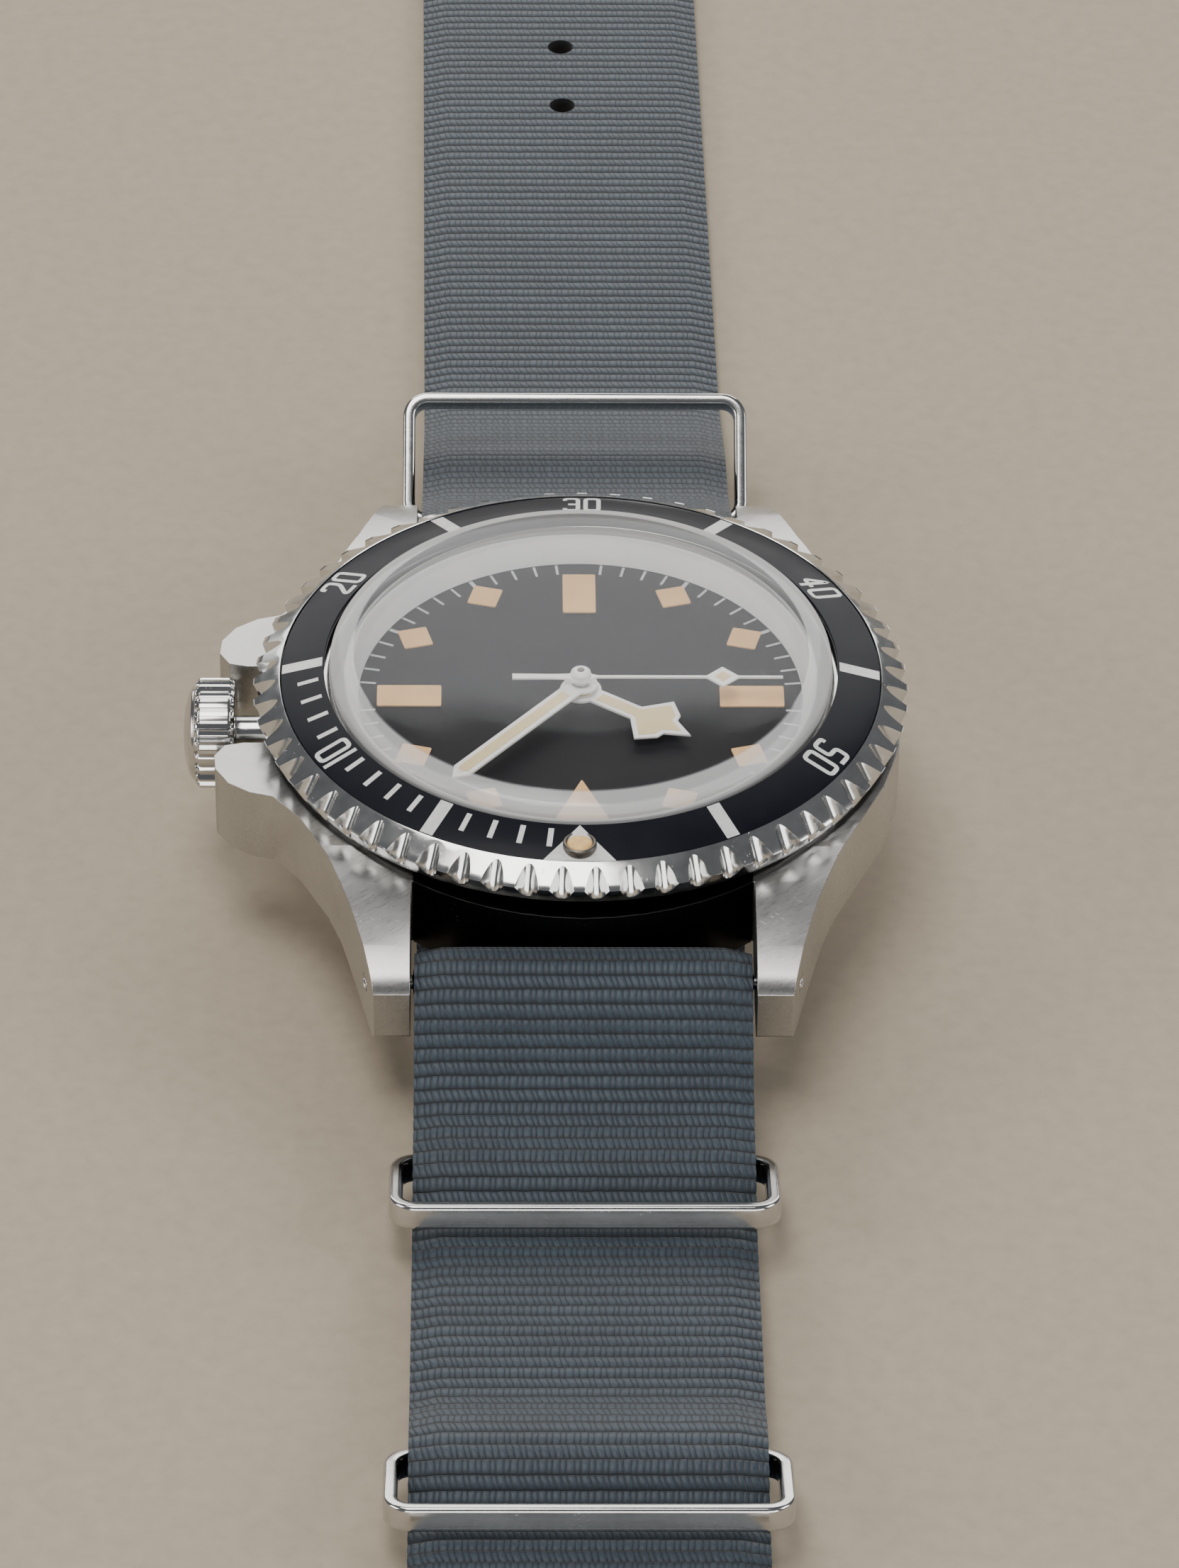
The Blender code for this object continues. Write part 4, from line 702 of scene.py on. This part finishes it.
def main_path():
    """The long strap from the side: tail, over and under the case, through the keepers, round the buckle."""
    over, flat, second = 1.45, 0.6, 1.9
    far = [(TAIL_TIP, flat), (TAIL_TIP + 4, flat), (-150, flat), (-110, flat), (-70, flat), (-52, flat),
           (-46, 0.75), (-42.5, 1.5), (-39, 2.75), (-36, 3.9), (-33.5, 4.7), (-31, 5.05), (-28.5, 5.6),
           (-26, 6.7), (-24, 7.9)]
    far_bar = bend((-SPRING_BAR_Y, SPRING_BAR_Z), over, 120, 0, 10)
    under_case = [(-20.05, 5.0), (-20.0, 3.9)] + bend((-18.2, 3.75), 1.85, 200, 270, 6)
    under_case += [(-8, second), (8, second)]
    under_case += bend((18.2, 3.75), 1.85, 270, 340, 6) + [(20.0, 3.9), (20.05, 5.0)]
    near_bar = bend((SPRING_BAR_Y, SPRING_BAR_Z), over, 180, 60, 10)
    hump = KEEPER_BAR_Z + 1.55
    near = [(24.0, 7.9), (26, 6.2), (28, 4.9), (30, 4.0), (KEEPER_1_Y, hump), (33.3, 3.45), (35, 2.5),
            (36.6, second), (40, second), (44, 2.15), (48, 2.25), (51.5, 2.2), (54, 3.3), (KEEPER_2_Y, hump),
            (57.5, 3.4), (59.2, 2.4), (60.8, second), (68, second), (72.5, 2.3), (75.3, 3.0)]
    fold = bend(BUCKLE_BAR, 1.3, 100, -90, 12)
    return far + far_bar + under_case + near_bar + near + fold + [(72, flat), (60, flat), (42.6, flat)]


def under_path():
    """The short strap under the case, turned back over the far keeper's lower bar."""
    loop = bend((KEEPER_3_Y, KEEPER_BAR_Z), 1.55, 270, 90, 11)
    return [(41.9, 0.6), (20, 0.6), (0, 0.6), (-20, 0.6)] + loop + [(-29.2, 3.2), (-27.4, 2.2), (-25.5, 1.95),
                                                                  (-23, 1.95)]


def half_width(y):
    """The tail narrows to a blunt end along a quarter of an ellipse."""
    inside = np.clip((y - TAIL_TIP) / 7.0, 0, 1)
    return STRAP_WIDE / 2 * (0.25 + 0.75 * np.sqrt(1 - (1 - inside) ** 2))


def webbing(name, path, widths, drift, node, holes=()):
    """A woven strap carried along a side view: a flat section with soft bumpy edges, standing square to
    the path. Each row of the weave lifts the faces a little and pushes the edge out a little."""
    middle, run = smooth_path(path, ROW_PITCH / 4)
    ahead = np.gradient(middle, axis=0)
    ahead /= np.linalg.norm(ahead, axis=1)[:, None]
    normal = np.column_stack([-ahead[:, 1], ahead[:, 0]])
    half, thick = widths(middle[:, 0]), STRAP_THICK / 2
    columns = 13
    across = np.concatenate([np.linspace(-1, 1, columns), np.linspace(1, -1, columns)])
    side = np.concatenate([np.ones(columns), -np.ones(columns)])
    row = np.abs(np.sin(pi * run / ROW_PITCH))[:, None]
    end = np.abs(across)[None, :] ** 14
    section = side * np.where(np.abs(across) > 0.999, 0.35, np.where(np.abs(across) > 0.83, 0.96, 1.0))
    x = half[:, None] * across * (1 + 0.004 * end * (row - 0.6)) - 0.05 * end * np.sign(across)
    lift = section * (thick - 0.03 + 0.03 * row)
    y = middle[:, :1] + normal[:, :1] * lift
    z = middle[:, 1:] + normal[:, 1:] * lift
    points = np.stack([x + drift(middle[:, 0])[:, None], y, z], axis=-1)
    count = len(across)
    faces = grid_faces(len(middle), count)
    faces += [list(range(count)), list(range((len(middle) - 1) * count, len(middle) * count))]
    uv = np.stack([x, run[:, None] + 0 * x], axis=-1)
    obj = piece(name, points, faces, NYLON, "case", [node], 60, uv)
    cut_holes(obj, holes)
    return obj, run[-1]


def cut_holes(obj, holes):
    """Round holes through a strap, cut for good so that no cutter is left."""
    if not holes:
        return
    work = bmesh.new()
    for x, y, radius in holes:
        at = Matrix.Translation((x * MM, y * MM, 0.6 * MM))
        bmesh.ops.create_cone(work, cap_ends=True, segments=28, radius1=radius * MM, radius2=radius * MM,
                              depth=4 * MM, matrix=at)
    mesh = bpy.data.meshes.new("hole_punch")
    work.to_mesh(mesh)
    work.free()
    punch = bpy.data.objects.new("hole_punch", mesh)
    bpy.context.scene.collection.objects.link(punch)
    step = obj.modifiers.new("Holes", "BOOLEAN")
    step.operation, step.object, step.solver = "DIFFERENCE", punch, "MANIFOLD"
    bpy.context.view_layer.update()
    cut = bpy.data.meshes.new_from_object(obj.evaluated_get(bpy.context.evaluated_depsgraph_get()))
    obj.modifiers.clear()
    obj.data = cut
    bpy.data.objects.remove(punch)


def tail_drift(y):
    """The tail lies a little askew: it moves sideways evenly beyond the far keeper."""
    return TAIL_SLANT * np.clip(TAIL_STRAIGHT - y, 0, None)


def even_width(y):
    return STRAP_WIDE / 2 + 0 * y


def no_drift(y):
    return 0 * y


def make_strap():
    places = [FIRST_HOLE - HOLE_STEP * k for k in range(HOLE_COUNT)]
    holes = [(float(tail_drift(y)), y, HOLE_RADIUS) for y in places]
    main, main_long = webbing("strap_long_webbing", main_path(), half_width, tail_drift, "strap_main", holes)
    under, under_long = webbing("strap_short_webbing", under_path(), even_width, no_drift, "strap_under")


def framed(name, node, body, y, length, lean, outer=22.2, corner=1.6, thick=0.8, band=1.5):
    """A flat-banded frame: a rounded section carried round a rounded rectangle, leaning about its bar."""
    inset = thick / 2
    radius = corner - inset
    right = outer / 2 - inset - radius
    low, high = -thick / 2 + inset + radius, -thick / 2 + length - inset - radius
    corners = ((right, high), (-right, high), (-right, low), (right, low))
    loop = np.concatenate([arc(radius, i * pi / 2, (i + 1) * pi / 2, 9, centre)
                           for i, centre in enumerate(corners)])
    side = np.roll(loop, -1, axis=0) - np.roll(loop, 1, axis=0)
    out = np.column_stack([side[:, 1], -side[:, 0]])
    out /= np.linalg.norm(out, axis=1)[:, None]
    section = rounded([(-thick / 2, -band / 2), (thick / 2, -band / 2), (thick / 2, band / 2),
                       (-thick / 2, band / 2)], 0.26, 5)
    flat = loop[:, None, :] + out[:, None, :] * section[None, :, :1]
    up = section[None, :, 1] + 0 * flat[..., 0]
    c, s = cos(lean), sin(lean)
    points = np.stack([flat[..., 0], y + flat[..., 1] * c - up * s, KEEPER_BAR_Z + flat[..., 1] * s + up * c],
                      axis=-1)
    piece(name, points, grid_faces(len(loop), len(section), True, True), POLISHED, body,
          [node], 30)


def make_keepers():
    framed("keeper_1_band", "keeper_1", "keeper_1", KEEPER_1_Y, 6.8, radians(15))
    framed("keeper_2_band", "keeper_2", "keeper_2", KEEPER_2_Y, 6.8, radians(15))
    framed("keeper_3_band", "keeper_3", "keeper_3", KEEPER_3_Y, 8.9, radians(180 - 38.7))
    softened("buckle_frame", POLISHED, 0.35)
    softened("buckle_tongue", POLISHED, 0.1)


# ---------------------------------------------------------------- the movement keeps its machined shapes


def dress_movement():
    finishes = {"case_steel": SATIN, "polished_steel": POLISHED, "gasket_rubber": RUBBER, "rhodium": RHODIUM,
                "gilt_brass": GILT, "movement_steel": GRAINED, "blued_steel": BLUED, "acrylic": ACRYLIC,
                "dial_black": DIAL_BLACK, "insert_black": INSERT_BLACK, "lume": PIP_LUME,
                "hand_white": HAND_WHITE, "strap_nylon": NYLON}
    slots = {part["node"]: part["material_slot"] for part in frame["record"]["subparts"]}
    for name, node in frame["nodes"].items():
        node.data.materials.clear()
        node.data.materials.append(finishes[slots[name]])


# ---------------------------------------------------------------- floor, light and camera


def panel(name, place, target, size, power, colour=(1, 1, 1)):
    """A soft rectangular light that faces a point."""
    light = bpy.data.lights.new(name, "AREA")
    light.shape = "RECTANGLE"
    light.size, light.size_y = size
    light.energy = power
    light.color = colour
    obj = bpy.data.objects.new(name, light)
    obj.location = place
    forward = (np.asarray(target, float) - np.asarray(place, float))
    forward /= np.linalg.norm(forward)
    right = np.cross(forward, (0, 0, 1.0))
    right /= np.linalg.norm(right)
    up = np.cross(right, forward)
    away = Matrix([(right[i], up[i], -forward[i]) for i in range(3)])
    obj.rotation_euler = away.to_euler()
    bpy.context.scene.collection.objects.link(obj)


def make_studio():
    mesh = bpy.data.meshes.new("pale_floor")
    reach = 3.0
    mesh.from_pydata([(-reach, -reach, 0), (reach, -reach, 0), (reach, reach, 0), (-reach, reach, 0)], [],
                     [(0, 1, 2, 3)])
    floor = bpy.data.objects.new("pale_floor", mesh)
    bpy.context.scene.collection.objects.link(floor)
    look = Finish("pale_floor_card", Roughness=0.9, Specular_IOR_Level=0.2)
    tone = look.ramp(look.noise(900, 3.0), 0.3, 0.7)
    mesh.materials.append(look.feed(Base_Color=look.mix(tone, (0.43, 0.365, 0.280), (0.475, 0.405, 0.310))))
    world = bpy.data.worlds.new("soft_room")
    bpy.context.scene.world = world
    world.use_nodes = True
    world.node_tree.nodes["Background"].inputs[0].default_value = (0.70, 0.72, 0.76, 1)
    world.node_tree.nodes["Background"].inputs[1].default_value = 0.20
    panel("overhead_soft", (0.15, 0.05, 0.9), (0, 0, 0), (0.6, 0.4), 4.5, (1.0, 0.98, 0.95))
    panel("back_window", (0.02, -1.0, 0.54), (0, 0, 0.01), (1.3, 0.78), 9.0, (1.0, 0.99, 0.97))
    panel("front_card", (-0.15, 1.0, 0.20), (0, 0, 0), (1.3, 0.34), 5.0, (1.0, 0.99, 0.97))
    panel("side_card", (0.8, 0.2, 0.35), (0, 0, 0), (0.5, 0.4), 3.0, (1.0, 0.98, 0.95))
    panel("other_side_card", (-0.8, 0.15, 0.4), (0, 0, 0), (0.5, 0.4), 3.0, (0.98, 0.98, 1.0))


def make_camera():
    """A long lens from above the 12 o'clock side, a little to the crown's side and rolled a little."""
    data = bpy.data.cameras.new("camera")
    data.sensor_fit = "VERTICAL"
    data.sensor_height = 36.0
    data.lens = 154.15
    data.clip_start, data.clip_end = 0.01, 20.0
    obj = bpy.data.objects.new("camera", data)
    bpy.context.scene.collection.objects.link(obj)
    height, side, roll, distance = radians(38.32), radians(1.06), radians(0.77), 402.1
    back = np.array([sin(side) * cos(height), cos(side) * cos(height), sin(height)])
    place = np.array([-0.539, 3.622, 8.0]) + back * distance
    right = np.cross(-back, (0, 0, 1.0))
    right /= np.linalg.norm(right)
    up = np.cross(right, -back)
    tilted = right * cos(roll) + up * sin(roll)
    risen = -right * sin(roll) + up * cos(roll)
    rows = [(tilted[i], risen[i], back[i], place[i] * MM) for i in range(3)]
    obj.matrix_world = Matrix([*rows, (0, 0, 0, 1)])
    bpy.context.scene.camera = obj


make_camera()
dress_movement()
make_case()
make_crystal()
make_crown()
make_bezel_ring()
make_insert()
make_dial()
make_hands()
make_strap()
make_keepers()
make_studio()
bpy.context.view_layer.update()
